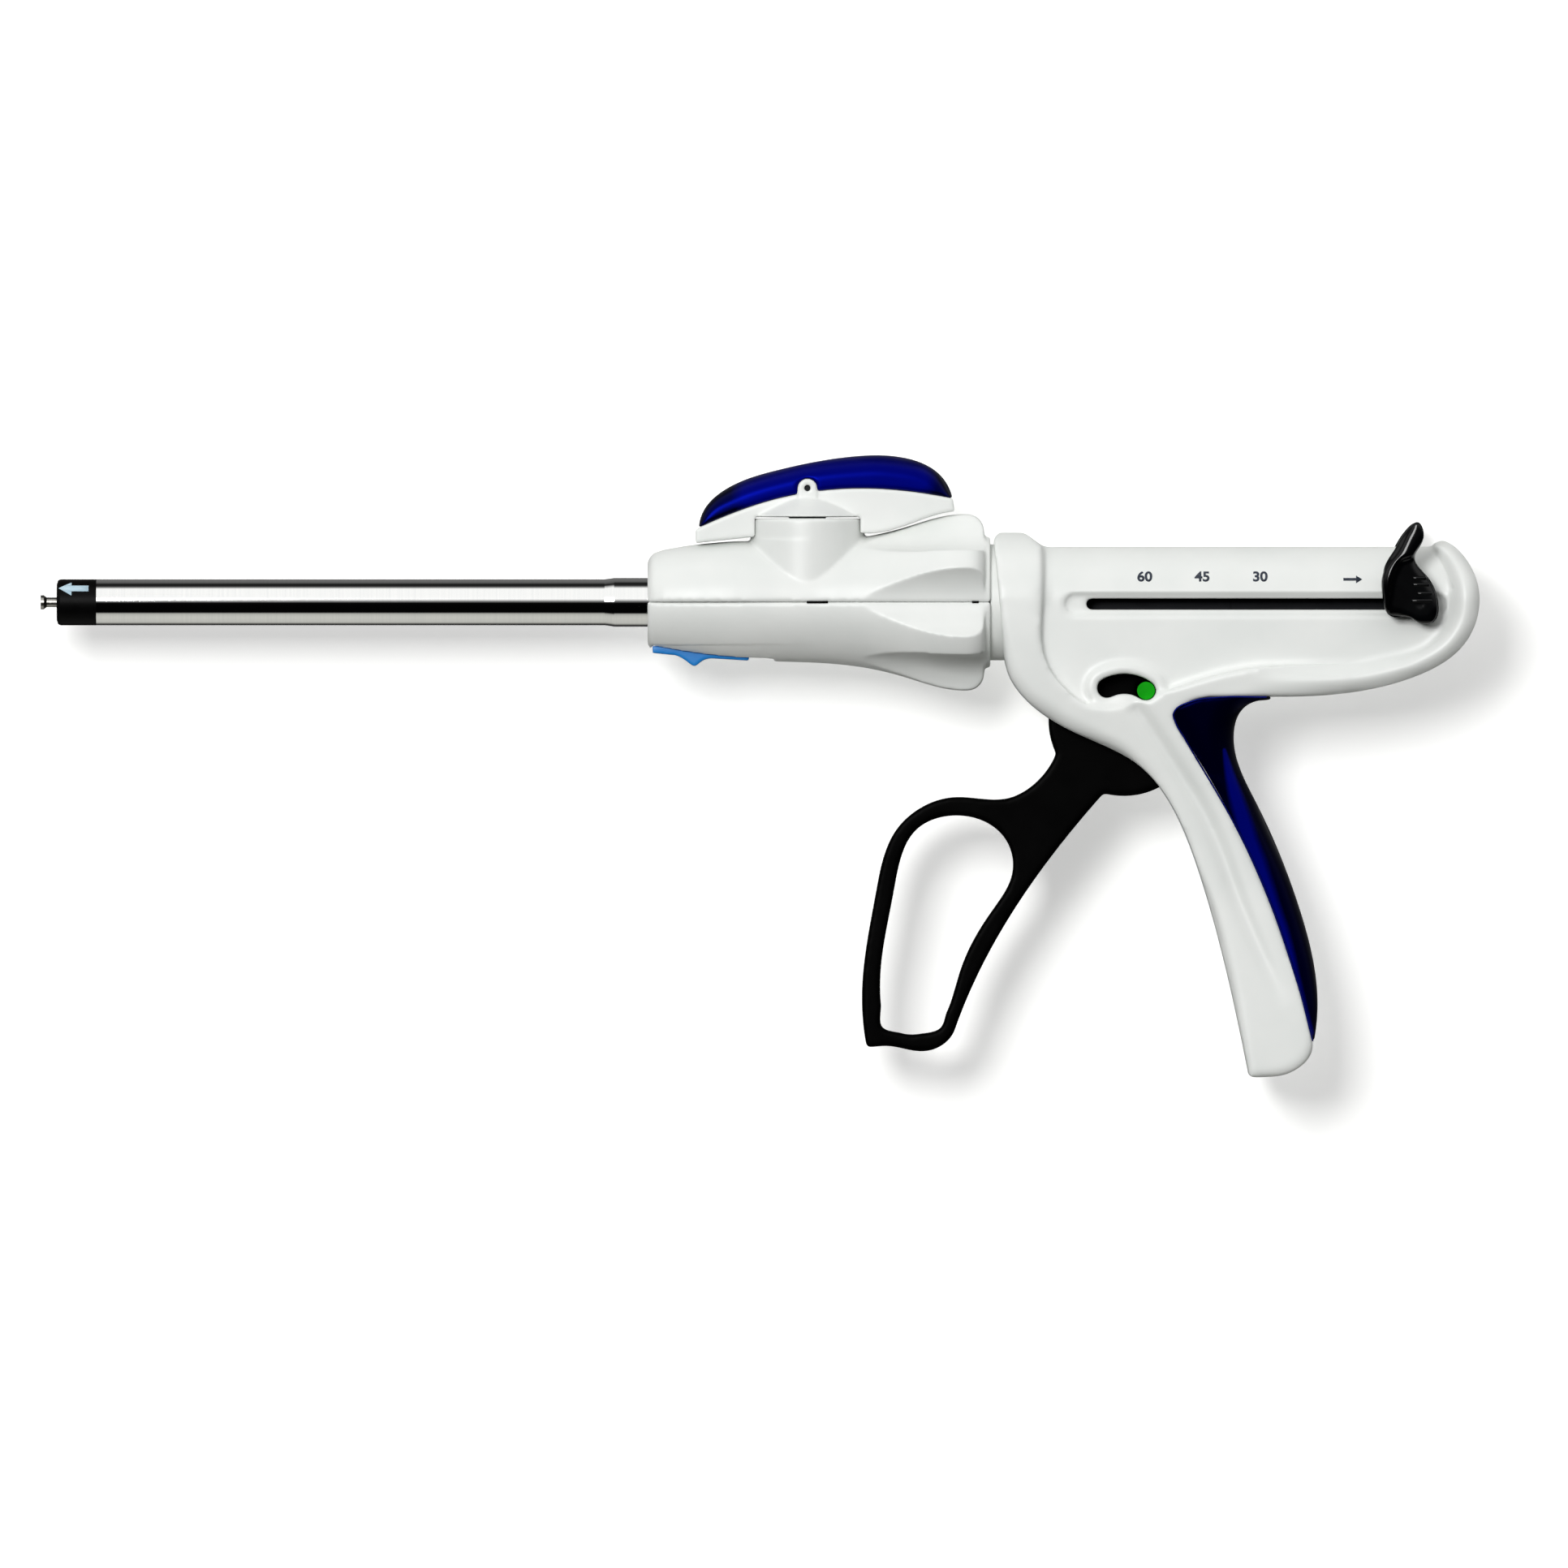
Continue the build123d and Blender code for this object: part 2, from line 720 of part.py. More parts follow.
for name, half in (("handle_shell_left", Keep.TOP), ("handle_shell_right", Keep.BOTTOM)):
    with BuildPart() as handle_shell:
        add(handle_body.part)
        split(bisect_by=Plane.XZ, keep=half)
    keep(handle_shell, name)

# Soft navy grip behind the handle
with BuildPart() as rear_grip:
    with BuildSketch(handle_side):
        with BuildLine():
            Polyline((80.0, -114.0), (44.0, -34.0), (44.0, -22.0), (72.1, -22.0), (72.1, -25.5))
            Spline(
                (72.1, -25.5),
                (63.8, -29.2),
                (62.5, -35.5),
                (68.5, -52.4),
                (79.0, -77.7),
                (84.3, -103.1),
                (83.4, -114.0),
            )
            Line((83.4, -114.0), (80.0, -114.0))
        make_face()
    extrude(amount=2 * nose_radius, both=True)
    add(handle_section.part, mode=Mode.INTERSECT)
    add(handle_outline.part, mode=Mode.SUBTRACT)
    with BuildSketch(handle_side):
        with Locations((pivot_setback, pivot_z)):
            Circle(hub_radius + window_gap)
    extrude(amount=window_half_width, both=True, mode=Mode.SUBTRACT)
keep(rear_grip, "rear_grip")

# Pins across the handle
with BuildPart() as trigger_pivot_pin:
    with BuildSketch(side(pivot_x, pivot_z)):
        Circle(pin_radius)
    extrude(amount=shell_half_cavity + 1.2, both=True)
keep(trigger_pivot_pin, "trigger_pivot_pin")

with BuildPart() as stop_pawl_pin:
    with BuildSketch(side(stop_x, -stop_drop)):
        Circle(small_pin_radius)
    extrude(amount=shell_half_cavity + 1.2, both=True)
keep(stop_pawl_pin, "stop_pawl_pin")

# Guide block that carries the front of the rack
with BuildPart() as rack_guide:
    with BuildSketch(across(handle_front + guide_setback)):
        Circle(barrel_bore - fit_gap)
        with Locations((0, (rack_top - rack_bottom) / 2)):
            Rectangle(
                2 * (rack_half_width + run_gap), rack_top + rack_bottom + 2 * run_gap, mode=Mode.SUBTRACT
            )
    extrude(amount=guide_width)
keep(rack_guide, "rack_guide")

# Trigger: hub inside the handle, arm and finger loop below it
pivot_side = side(pivot_x, pivot_z)
pawl_x, pawl_z = polar(pawl_reach, pawl_lean)
button_x, button_z = polar(button_reach, button_lean)
with BuildPart() as trigger_handle:
    with BuildSketch(pivot_side):
        with BuildLine():
            Line((-5.3, -18.9), (-16.7, -1.3))
            Spline(
                (-16.7, -1.3), (-20.5, -13.5), (-30.6, -20.3), (-44.2, -19.9), (-58.9, -27.9),
                (-64.6, -44.8), (-68.2, -74.4), (-67.0, -85.1),
            )
            Spline(
                (-67.0, -85.1), (-61.1, -84.7), (-52.6, -86.1), (-44.2, -80.9),
                tangents=((1, 0.1), (0.5, 1)),
            )
            Spline((-44.2, -80.9), (-38.0, -65.9), (-22.8, -40.6), (-5.3, -18.9))
        make_face()
        Circle(hub_radius)
        with BuildLine():
            Spline(
                (-28.9, -36.3), (-33.6, -27.9), (-44.2, -24.7), (-53.5, -27.9), (-60.0, -44.8),
                (-63.4, -72.3), (-61.1, -79.7), (-50.9, -80.9), (-42.9, -65.9), (-34.0, -49.0), periodic=True,
            )
        make_face(mode=Mode.SUBTRACT)
        Circle(pin_radius + fit_gap / 2, mode=Mode.SUBTRACT)
        with Locations((button_x, button_z)):
            Circle(plunger_radius + run_gap, mode=Mode.SUBTRACT)
        with Locations((pawl_x, pawl_z)):
            Circle(small_pin_radius + fit_gap / 2, mode=Mode.SUBTRACT)
    extrude(amount=trigger_half_width, both=True)
    with BuildSketch(pivot_side):
        with Locations((0, pawl_slot_floor)):
            Rectangle(3 * hub_radius, hub_radius, align=(Align.CENTER, Align.MIN))
        Circle(2 * pin_radius + 0.6)
    extrude(amount=pawl_slot_half_width, both=True, mode=Mode.SUBTRACT)
keep(trigger_handle, "trigger_handle")

with BuildPart() as pawl_pin:
    with BuildSketch(side(pivot_x + pawl_x, pivot_z + pawl_z)):
        Circle(small_pin_radius)
    extrude(amount=trigger_half_width, both=True)
keep(pawl_pin, "pawl_pin")

# Pawl that pushes the rack forward
pawl_half_width = pawl_slot_half_width - run_gap
with BuildPart() as drive_pawl:
    with BuildSketch(side(pivot_x + pawl_x, pivot_z + pawl_z)):
        Circle(2.5 * small_pin_radius)
        with BuildLine():
            Polyline((2.6, 0), (-0.6, 8.0), (-5.4, 9.4), (-4.2, 6.4), (-2.6, 0), close=True)
        make_face()
        Circle(small_pin_radius + fit_gap, mode=Mode.SUBTRACT)
    extrude(amount=pawl_half_width, both=True)
keep(drive_pawl, "drive_pawl")

# Safety plunger through the trigger hub, with a green cap at each end
with BuildPart() as safety_plunger:
    with BuildSketch(side(pivot_x + button_x, pivot_z + button_z)):
        Circle(plunger_radius)
    extrude(amount=plunger_half_length, both=True)
keep(safety_plunger, "safety_plunger")

for name, y_side in (("safety_cap_left", -1), ("safety_cap_right", 1)):
    cap_seat = Plane(
        origin=(pivot_x + button_x, y_side * plunger_half_length, pivot_z + button_z),
        x_dir=(1, 0, 0),
        z_dir=(0, y_side, 0),
    )
    with BuildPart() as safety_cap:
        with BuildSketch(cap_seat):
            Circle(button_radius)
        extrude(amount=cap_half_length - plunger_half_length)
        fillet(safety_cap.edges().sort_by(Axis.Y)[min(y_side, 0)], button_radius / 3)
    keep(safety_cap, name)

# Rack with teeth underneath, a socket for the rod's tail and a pocket for the release plate
plate_x = coupling_x + 3 - plate_length
with BuildPart() as rack_shaft:
    with BuildSketch(across(rack_front)):
        with Locations((0, (rack_top - rack_bottom) / 2)):
            Rectangle(2 * rack_half_width, rack_top + rack_bottom)
    extrude(amount=rack_length)
    with BuildSketch(side(rack_front, -rack_bottom)):
        for tooth in range(tooth_count):
            with BuildLine():
                start = 8 + tooth * tooth_pitch
                Polyline((start, 0), (start + tooth_pitch, 0), (start, tooth_depth), close=True)
            make_face()
    extrude(amount=2 * rack_half_width, both=True, mode=Mode.SUBTRACT)
    with BuildSketch(across(rack_front)):
        Circle(rod_radius + run_gap)
    extrude(amount=5, mode=Mode.SUBTRACT)
    with BuildSketch(side(rack_front)):
        with Locations((0.5, -rod_radius - 1)):
            Rectangle(1.6, 2 * rack_top, align=(Align.MIN, Align.MIN))
    extrude(amount=rod_radius + 1, both=True, mode=Mode.SUBTRACT)
    with BuildSketch(Plane.XZ.offset(rack_half_width - plate_thickness - fit_gap)):
        with Locations((plate_x - fit_gap, 1.6)):
            Rectangle(plate_length + 2 * fit_gap, 6.2, align=(Align.MIN, Align.MAX))
    extrude(amount=2 * plate_thickness, mode=Mode.SUBTRACT)
    with BuildSketch(side(coupling_x, slot_level)):
        Circle(coupling_radius + fit_gap / 2)
    extrude(amount=2 * rack_half_width, both=True, mode=Mode.SUBTRACT)
keep(rack_shaft, "rack_shaft")

with BuildPart() as rod_retainer:
    with BuildSketch(across(rack_front + 0.7)):
        with Locations((0, rack_top - fit_gap)):
            Rectangle(2 * rod_radius + 1.8, rack_top + rod_radius + 0.8, align=(Align.CENTER, Align.MAX))
        Circle(neck_radius + run_gap, mode=Mode.SUBTRACT)
        Rectangle(
            2 * (neck_radius + run_gap), 2 * rack_top, align=(Align.CENTER, Align.MAX), mode=Mode.SUBTRACT
        )
    extrude(amount=1.2)
keep(rod_retainer, "rod_retainer")

with BuildPart() as release_plate:
    with BuildSketch(Plane.XZ.offset(rack_half_width - plate_thickness)):
        with Locations((plate_x, 1.5)):
            Rectangle(plate_length, 6.0, align=(Align.MIN, Align.MAX))
        with Locations((coupling_x, slot_level)):
            Circle(coupling_radius + fit_gap / 2, mode=Mode.SUBTRACT)
    extrude(amount=plate_thickness)
keep(release_plate, "release_plate")

# Coupling rod through the rack and both slots, with a retraction knob at each end
puller_face = panel_radius + puller_gap
with BuildPart() as coupling_rod:
    with BuildSketch(side(coupling_x, slot_level)):
        Circle(coupling_radius)
    extrude(amount=puller_face + puller_depth - 2, both=True)
keep(coupling_rod, "coupling_rod")

for name, y_side in (("retraction_knob_left", -1), ("retraction_knob_right", 1)):
    puller_side = Plane(
        origin=(coupling_x, y_side * puller_face, slot_level), x_dir=(1, 0, 0), z_dir=(0, -1, 0)
    )
    with BuildPart() as retraction_knob:
        with BuildSketch(puller_side):
            with BuildLine():
                Spline(
                    (-4.9, -3.3), (-8.3, -2.7), (-9.8, 2.0), (-9.6, 8.0), (-5.6, 13.6), (-2.8, 18.9),
                    (-0.7, 21.4), (1.0, 17.8), (-1.4, 11.9), (2.0, 7.0), (4.4, 2.0), (3.6, -4.6), (0.3, -5.2),
                    periodic=True,
                )
            make_face()
            Circle(coupling_radius + fit_gap / 2, mode=Mode.SUBTRACT)
        extrude(amount=-y_side * puller_depth)
    keep(retraction_knob, name)

# Stop pawl under the rack
with BuildPart() as stop_pawl:
    with BuildSketch(side(stop_x, -stop_drop)):
        Circle(2.4 * small_pin_radius)
        with BuildLine():
            Polyline((2.0, 2.0), (-8.0, 8.0), (-10.5, 7.6), (-9.0, 4.6), (-1.0, -2.6), close=True)
        make_face()
        Circle(small_pin_radius + fit_gap, mode=Mode.SUBTRACT)
    extrude(amount=pawl_half_width, both=True)
keep(stop_pawl, "stop_pawl")


def coil(origin, direction, radius, wire, pitch, length):
    path = Helix(pitch, length, radius, center=origin, direction=direction)
    with BuildPart() as spring:
        with BuildSketch(Plane(origin=path @ 0, z_dir=path % 0)):
            Circle(wire)
        sweep(path=path, is_frenet=True)
    return spring


# Springs: a torsion coil on the trigger pin, a coil behind the slider, a leaf under the stop pawl
trigger_return_spring = coil((pivot_x, -2.6, pivot_z), (0, 1, 0), pin_radius + 1.3, 0.45, 1.15, 5.2)
keep(trigger_return_spring, "trigger_return_spring")

spring_front = stem_x + stem_length + 0.5
unload_spring = coil((spring_front, 0, -slider_top + 3), (1, 0, 0), 1.4, 0.3, 1.3, 9.1)
keep(unload_spring, "unload_spring")

with BuildPart() as stop_pawl_spring:
    with BuildSketch(side(stop_x, -stop_drop)):
        with BuildLine():
            Polyline((14, -5.9), (-7.5, -3.6), (-7.5, -3.1), (14, -5.4), close=True)
        make_face()
    extrude(amount=pawl_half_width - 1, both=True)
keep(stop_pawl_spring, "stop_pawl_spring")
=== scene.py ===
import math
import bmesh
import bpy
import numpy as np
from mathutils import Matrix, Vector, kdtree


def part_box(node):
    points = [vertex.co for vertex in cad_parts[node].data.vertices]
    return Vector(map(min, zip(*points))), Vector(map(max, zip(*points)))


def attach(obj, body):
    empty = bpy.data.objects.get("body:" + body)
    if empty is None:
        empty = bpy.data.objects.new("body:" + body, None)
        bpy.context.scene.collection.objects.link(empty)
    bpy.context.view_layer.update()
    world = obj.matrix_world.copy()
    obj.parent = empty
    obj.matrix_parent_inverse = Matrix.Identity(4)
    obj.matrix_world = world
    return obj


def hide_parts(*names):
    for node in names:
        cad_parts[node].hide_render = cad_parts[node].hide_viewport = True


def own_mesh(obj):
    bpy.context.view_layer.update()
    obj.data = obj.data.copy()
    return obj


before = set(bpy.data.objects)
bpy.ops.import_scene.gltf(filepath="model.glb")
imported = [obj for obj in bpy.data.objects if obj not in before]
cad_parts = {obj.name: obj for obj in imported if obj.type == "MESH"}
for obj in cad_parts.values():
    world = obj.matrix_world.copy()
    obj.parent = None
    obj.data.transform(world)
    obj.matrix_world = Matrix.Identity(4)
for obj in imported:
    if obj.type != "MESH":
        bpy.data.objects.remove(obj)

mm = 0.001
scene = bpy.context.scene
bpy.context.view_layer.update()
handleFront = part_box("handle_shell_left")[0].x / mm    # front face of the handle's nose
screwHalf = 3.9                                        # half the width of the lever screw's head
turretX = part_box("lever_screw")[0].x / mm + screwHalf  # lever's turning axis
print("frame loaded:", len(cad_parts), "nodes")


def linear(code):  # sRGB hex to linear
    parts = [int(code[i:i + 2], 16) / 255 for i in (1, 3, 5)]
    return [c / 12.92 if c <= 0.04045 else ((c + 0.055) / 1.055) ** 2.4 for c in parts] + [1.0]


def addNode(tree, kind, settings={}, links={}):
    node = tree.nodes.new(kind)
    for key, value in settings.items():
        if isinstance(key, int) or key in node.inputs:
            node.inputs[key].default_value = value
        else:
            setattr(node, key, value)
    for key, output in links.items():
        tree.links.new(output, node.inputs[key])
    return node


def newFinish(name):
    material = bpy.data.materials.new(name)
    material.use_nodes = True
    tree = material.node_tree
    tree.nodes.clear()
    shader = addNode(tree, "ShaderNodeBsdfPrincipled")
    addNode(tree, "ShaderNodeOutputMaterial", links={"Surface": shader.outputs[0]})
    place = addNode(tree, "ShaderNodeTexCoord").outputs["Object"]
    return material, tree, shader, place


toneSpan = (0.3, 0.7)  # where the cloud turns from the first tone to the second
paintedLightShare = 0.75        # how much of the painted highlight and shade comes from the piece's own map
grainDepth = 0.02      # mm, moulded grain
lineDepth = 0.01       # mm, turning and grinding lines


def mouldedFinish(name, look):
    # cloudy tone, uneven gloss and a spark-eroded grain, all of them sized in mm;
    # a real grain is under 0.1 mm and wouldn't show, so it is drawn coarser
    material, tree, shader, place = newFinish(name)
    cloud = addNode(tree, "ShaderNodeTexNoise", {"Scale": 1 / (look["cloud"] * mm), "Detail": 3.0},
                    {"Vector": place})
    shade = cloud.outputs["Fac"]
    if look.get("paintedLight"):  # the piece's own map of painted highlight and shade, broken up a little by the cloud
        paintedLight = addNode(tree, "ShaderNodeAttribute", {"attribute_name": "paintedLight"})
        paintedTone = addNode(tree, "ShaderNodeMath", {"operation": "MULTIPLY_ADD", 1: paintedLightShare},
                       {0: paintedLight.outputs["Fac"]})
        faint = addNode(tree, "ShaderNodeMapRange", {4: 1 - paintedLightShare}, {0: shade})
        tree.links.new(faint.outputs[0], paintedTone.inputs[2])
        shade = paintedTone.outputs[0]
    tone = addNode(tree, "ShaderNodeValToRGB", links={"Fac": shade})
    for stop, position, code in zip(tone.color_ramp.elements, toneSpan, look["tones"]):
        stop.position = position
        stop.color = linear(code)
    smear = addNode(tree, "ShaderNodeTexNoise", {"Scale": 1 / (look["smear"] * mm), "Detail": 2.0},
                    {"Vector": place})
    gloss = addNode(tree, "ShaderNodeMapRange", {3: look["rough"][0], 4: look["rough"][1]},
                    {0: smear.outputs["Fac"]})
    grain = addNode(tree, "ShaderNodeTexNoise", {"Scale": 1 / (look["grain"] * mm), "Detail": 1.0},
                    {"Vector": place})
    bump = addNode(tree, "ShaderNodeBump", {"Strength": look["bump"], "Distance": grainDepth * mm},
                   {"Height": grain.outputs["Fac"]})
    tree.links.new(tone.outputs[0], shader.inputs["Base Color"])
    tree.links.new(gloss.outputs[0], shader.inputs["Roughness"])
    tree.links.new(bump.outputs[0], shader.inputs["Normal"])
    for socket, value in look["fixed"].items():
        shader.inputs[socket].default_value = value
    return material


def metalFinish(name, look):
    # fine lines, turned round the shaft's axis or ground along it, with slight smears of gloss;
    # real lines are too fine to show, so they are drawn coarser
    material, tree, shader, place = newFinish(name)
    stretch = addNode(tree, "ShaderNodeMapping", {"Scale": look["lines"]}, {"Vector": place})
    lines = addNode(tree, "ShaderNodeTexNoise", {"Scale": 1 / (look["pitch"] * mm), "Detail": 2.0},
                    {"Vector": stretch.outputs[0]})
    tone = addNode(tree, "ShaderNodeValToRGB", links={"Fac": lines.outputs["Fac"]})
    for stop, code in zip(tone.color_ramp.elements, look["tones"]):
        stop.color = linear(code)
    smear = addNode(tree, "ShaderNodeTexNoise", {"Scale": 1 / (look["smear"] * mm), "Detail": 3.0},
                    {"Vector": place})
    gloss = addNode(tree, "ShaderNodeMapRange", {3: look["rough"][0], 4: look["rough"][1]},
                    {0: smear.outputs["Fac"]})
    bump = addNode(tree, "ShaderNodeBump", {"Strength": look["bump"], "Distance": lineDepth * mm},
                   {"Height": lines.outputs["Fac"]})
    tree.links.new(tone.outputs[0], shader.inputs["Base Color"])
    tree.links.new(gloss.outputs[0], shader.inputs["Roughness"])
    tree.links.new(bump.outputs[0], shader.inputs["Normal"])
    shader.inputs["Metallic"].default_value = 1.0
    return material


mouldedLooks = {
    # medical ABS, moulded with a satin skin: cool white that keeps soft highlights
    "whiteAbs": {"tones": ("#e4e7e4", "#ebedea"), "cloud": 18, "smear": 5, "rough": (0.35, 0.47), "grain": 0.45,
                 "bump": 0.05, "fixed": {"IOR": 1.53}},
    # soft TPE overmoulding, dark navy: a painted highlight streak of clear navy along the side, painted shade
    # almost black elsewhere
    "navyElastomer": {"tones": ("#00000e", "#010566"), "paintedLight": True, "cloud": 14, "smear": 4, "rough": (0.28, 0.34),
                      "grain": 0.5, "bump": 0.1, "fixed": {"IOR": 1.5, "Specular IOR Level": 0.09,
                                                           "Specular Tint": linear("#1c2cff")}},
    # polished navy ABS of the lever's cap: deep blue, brighter along a painted highlight band, sinking to painted
    # shade, black, at both tips
    "polishedNavyAbs": {"tones": ("#000004", "#00025e"), "paintedLight": True, "cloud": 16, "smear": 6,
                        "rough": (0.27, 0.34), "grain": 0.5, "bump": 0.04,
                        "fixed": {"IOR": 1.53, "Specular IOR Level": 0.45, "Specular Tint": linear("#1428ff")}},
    # moulded navy ABS of the lip round the grip: thin and even, a little glossy
    "mouldedNavyAbs": {"tones": ("#010348", "#02065a"), "cloud": 16, "smear": 6, "rough": (0.24, 0.32),
                       "grain": 0.5, "bump": 0.04, "fixed": {"IOR": 1.53, "Specular Tint": linear("#3a58ff")}},
    # glass-filled nylon of the trigger: black, satin, with a faint swirl of fibres
    "blackNylon": {"tones": ("#010101", "#040404"), "cloud": 9, "smear": 4, "rough": (0.32, 0.42), "grain": 0.4,
                   "bump": 0.1, "fixed": {"IOR": 1.53, "Specular IOR Level": 0.012}},
    # polished black ABS of the retraction knobs: deep black with small sharp highlights
    "polishedBlackAbs": {"tones": ("#020203", "#060708"), "cloud": 8, "smear": 4, "rough": (0.08, 0.13),
                         "grain": 0.5, "bump": 0.04, "fixed": {"IOR": 1.53, "Specular IOR Level": 0.2}},
    # matt black nylon of the reload socket: fine grain, hardly any gleam
    "mattBlackNylon": {"tones": ("#030303", "#080808"), "cloud": 6, "smear": 3, "rough": (0.34, 0.46),
                       "grain": 0.35, "bump": 0.12, "fixed": {"IOR": 1.53, "Specular IOR Level": 0.04}},
    # natural acetal of the inner guides: milky grey
    "naturalAcetal": {"tones": ("#b9bbb6", "#c6c8c3"), "cloud": 8, "smear": 4, "rough": (0.35, 0.48),
                      "grain": 0.4, "bump": 0.06, "fixed": {"IOR": 1.48}},
    # silicone ring: dark, rubbery, hardly any shine
    "siliconeRubber": {"tones": ("#1b1c1d", "#242526"), "cloud": 5, "smear": 3, "rough": (0.60, 0.75),
                       "grain": 0.3, "bump": 0.15, "fixed": {"IOR": 1.42}},
    # sky blue acetal of the unload slider: clear colour, a little waxy
    "blueAcetal": {"tones": ("#1d7ac8", "#2886d4"), "cloud": 7, "smear": 3, "rough": (0.28, 0.40), "grain": 0.4,
                   "bump": 0.06, "fixed": {"IOR": 1.48, "Specular IOR Level": 0.3}},
    # bright green acetal of the safety button: even and waxy
    "greenAcetal": {"tones": ("#009600", "#04a404"), "cloud": 4, "smear": 2, "rough": (0.20, 0.28), "grain": 0.4,
                    "bump": 0.05, "fixed": {"IOR": 1.48, "Specular IOR Level": 0.15}},
    # pad-printed ink of the scale: slate blue, a little broken by the grain beneath
    "slateInk": {"tones": ("#1f2633", "#2c3545"), "cloud": 1.2, "smear": 1, "rough": (0.45, 0.60), "grain": 0.4,
                 "bump": 0.05, "fixed": {"IOR": 1.5}},
    # pad-printed ink of the loading arrow: pale blue on black
    "paleInk": {"tones": ("#b4d3e4", "#c6e0ec"), "cloud": 2, "smear": 1, "rough": (0.45, 0.60), "grain": 0.4,
                "bump": 0.05, "fixed": {"IOR": 1.5}},
}
metalLooks = {
    # drawn stainless tube, polished: a mirror with faint rings
    "polishedSteel": {"tones": ("#e2e3e2", "#eeeeec"), "lines": (1, 0.02, 0.02), "pitch": 0.6, "smear": 14,
                      "rough": (0.045, 0.06), "bump": 0.0015},
    # turned pins and rod: bright with tool rings
    "turnedSteel": {"tones": ("#c9cac8", "#dcdcda"), "lines": (1, 0.05, 0.05), "pitch": 0.35, "smear": 6,
                    "rough": (0.16, 0.26), "bump": 0.15},
    # stamped sheet: grey, with grain along the strip
    "stampedSteel": {"tones": ("#b4b6b6", "#c8c9c8"), "lines": (0.03, 1, 1), "pitch": 0.3, "smear": 5,
                     "rough": (0.24, 0.36), "bump": 0.15},
    # steel of the rack, release plate and cross pin, darkened nearly black as painted shade of the slot and hole
    # they show in, with a dull metal gleam
    "shadeDarkSteel": {"tones": ("#151617", "#202123"), "lines": (0.05, 1, 1), "pitch": 0.4, "smear": 6,
                       "rough": (0.34, 0.46), "bump": 0.12},
    # spring wire: darker steel with an oil tint
    "springSteel": {"tones": ("#8d8c88", "#a5a39d"), "lines": (1, 1, 1), "pitch": 0.5, "smear": 3,
                    "rough": (0.22, 0.34), "bump": 0.1},
}
finishes = {name: mouldedFinish(name, look) for name, look in mouldedLooks.items()}
finishes.update({name: metalFinish(name, look) for name, look in metalLooks.items()})
nodeFinish = {
    "whiteAbs": ("knob_upper", "knob_lower", "swivel_collar", "lever_base", "handle_shell_left",
                 "handle_shell_right"),
    "navyElastomer": ("rear_grip",),
    "polishedNavyAbs": ("lever_cap",),
    "blackNylon": ("trigger_handle", "safety_plunger"),
    "polishedBlackAbs": ("retraction_knob_left", "retraction_knob_right"),
    "mattBlackNylon": ("reload_collar",),
    "polishedSteel": ("shaft_tube",),
    "turnedSteel": ("lever_screw", "follower_pin", "trigger_pivot_pin", "stop_pawl_pin", "pawl_pin",
                    "coupling_rod"),
    "stampedSteel": ("articulation_rod", "lock_bar", "drive_pawl", "rod_retainer", "stop_pawl"),
    # these three are darkened as painted shade where they show in a slot and a hole
    "shadeDarkSteel": ("rack_shaft", "release_plate", "lever_cross_pin"),
    "springSteel": ("trigger_return_spring", "unload_spring", "stop_pawl_spring", "control_rod"),
    "naturalAcetal": ("rod_guides", "tube_anchor", "articulation_cam", "rack_guide"),
    "siliconeRubber": ("shaft_seal",),
    "blueAcetal": ("unload_slider",),
    "greenAcetal": ("safety_cap_left", "safety_cap_right"),
}
for finish, nodes in nodeFinish.items():
    for node in nodes:
        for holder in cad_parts[node].material_slots:
            holder.material = finishes[finish]
print("finishes made:", len(finishes))


def addPiece(name, bm, finish, body, node=None):
    mesh = bpy.data.meshes.new(name)
    bm.to_mesh(mesh)
    bm.free()
    mesh.shade_smooth()
    mesh.materials.clear()
    mesh.materials.append(finishes[finish])
    piece = bpy.data.objects.new(name, mesh)
    scene.collection.objects.link(piece)
    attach(piece, body)
    if node:
        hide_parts(node)
    return piece


shaping = {
    "weld": 0.002,          # mm, points nearer than this become one
    "plugSides": 32,
    "seam": 0.5,            # mm, points this near a parting plane stay in it
    "rubbing": 0.5,         # strength of one smoothing pass
    "guideSteps": 40,       # points of a guide line per knot
    "leastRound": 0.3,      # mm, a guide with a smaller radius leaves its edge square
    "outward": 0.4,         # how far a face must turn to the side to be pressed
    "grooveReach": 3,       # a groove ends at this many half widths
}


def mergedCopy(node):
    # a node's mesh is loose triangles, so a copy of it is joined up first
    bm = bmesh.new()
    bm.from_mesh(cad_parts[node].data)
    bmesh.ops.remove_doubles(bm, verts=bm.verts, dist=shaping["weld"] * mm)
    return bm


def remeshed(node, voxel, plug=None):
    # an even skin of small quads over a merged copy of the node
    bm = mergedCopy(node)
    if plug:  # closes a bore with a short cylinder across the part
        spot, radius, depth = plug
        lie = Matrix.Translation(Vector(spot) * mm) @ Matrix.Rotation(math.radians(90), 4, "X")
        bmesh.ops.create_cone(bm, cap_ends=True, segments=shaping["plugSides"], radius1=radius * mm,
                              radius2=radius * mm, depth=depth * mm, matrix=lie)
    mesh = bpy.data.meshes.new("skin")
    bm.to_mesh(mesh)
    bm.free()
    skin = bpy.data.objects.new("skin", mesh)
    scene.collection.objects.link(skin)
    remesh = skin.modifiers.new("remesh", "REMESH")
    remesh.mode = "VOXEL"
    remesh.voxel_size = voxel * mm
    result = bpy.data.meshes.new_from_object(skin.evaluated_get(bpy.context.evaluated_depsgraph_get()))
    bm = bmesh.new()
    bm.from_mesh(result)
    bpy.data.objects.remove(skin)
    bpy.data.meshes.remove(mesh)
    bpy.data.meshes.remove(result)
    return bm


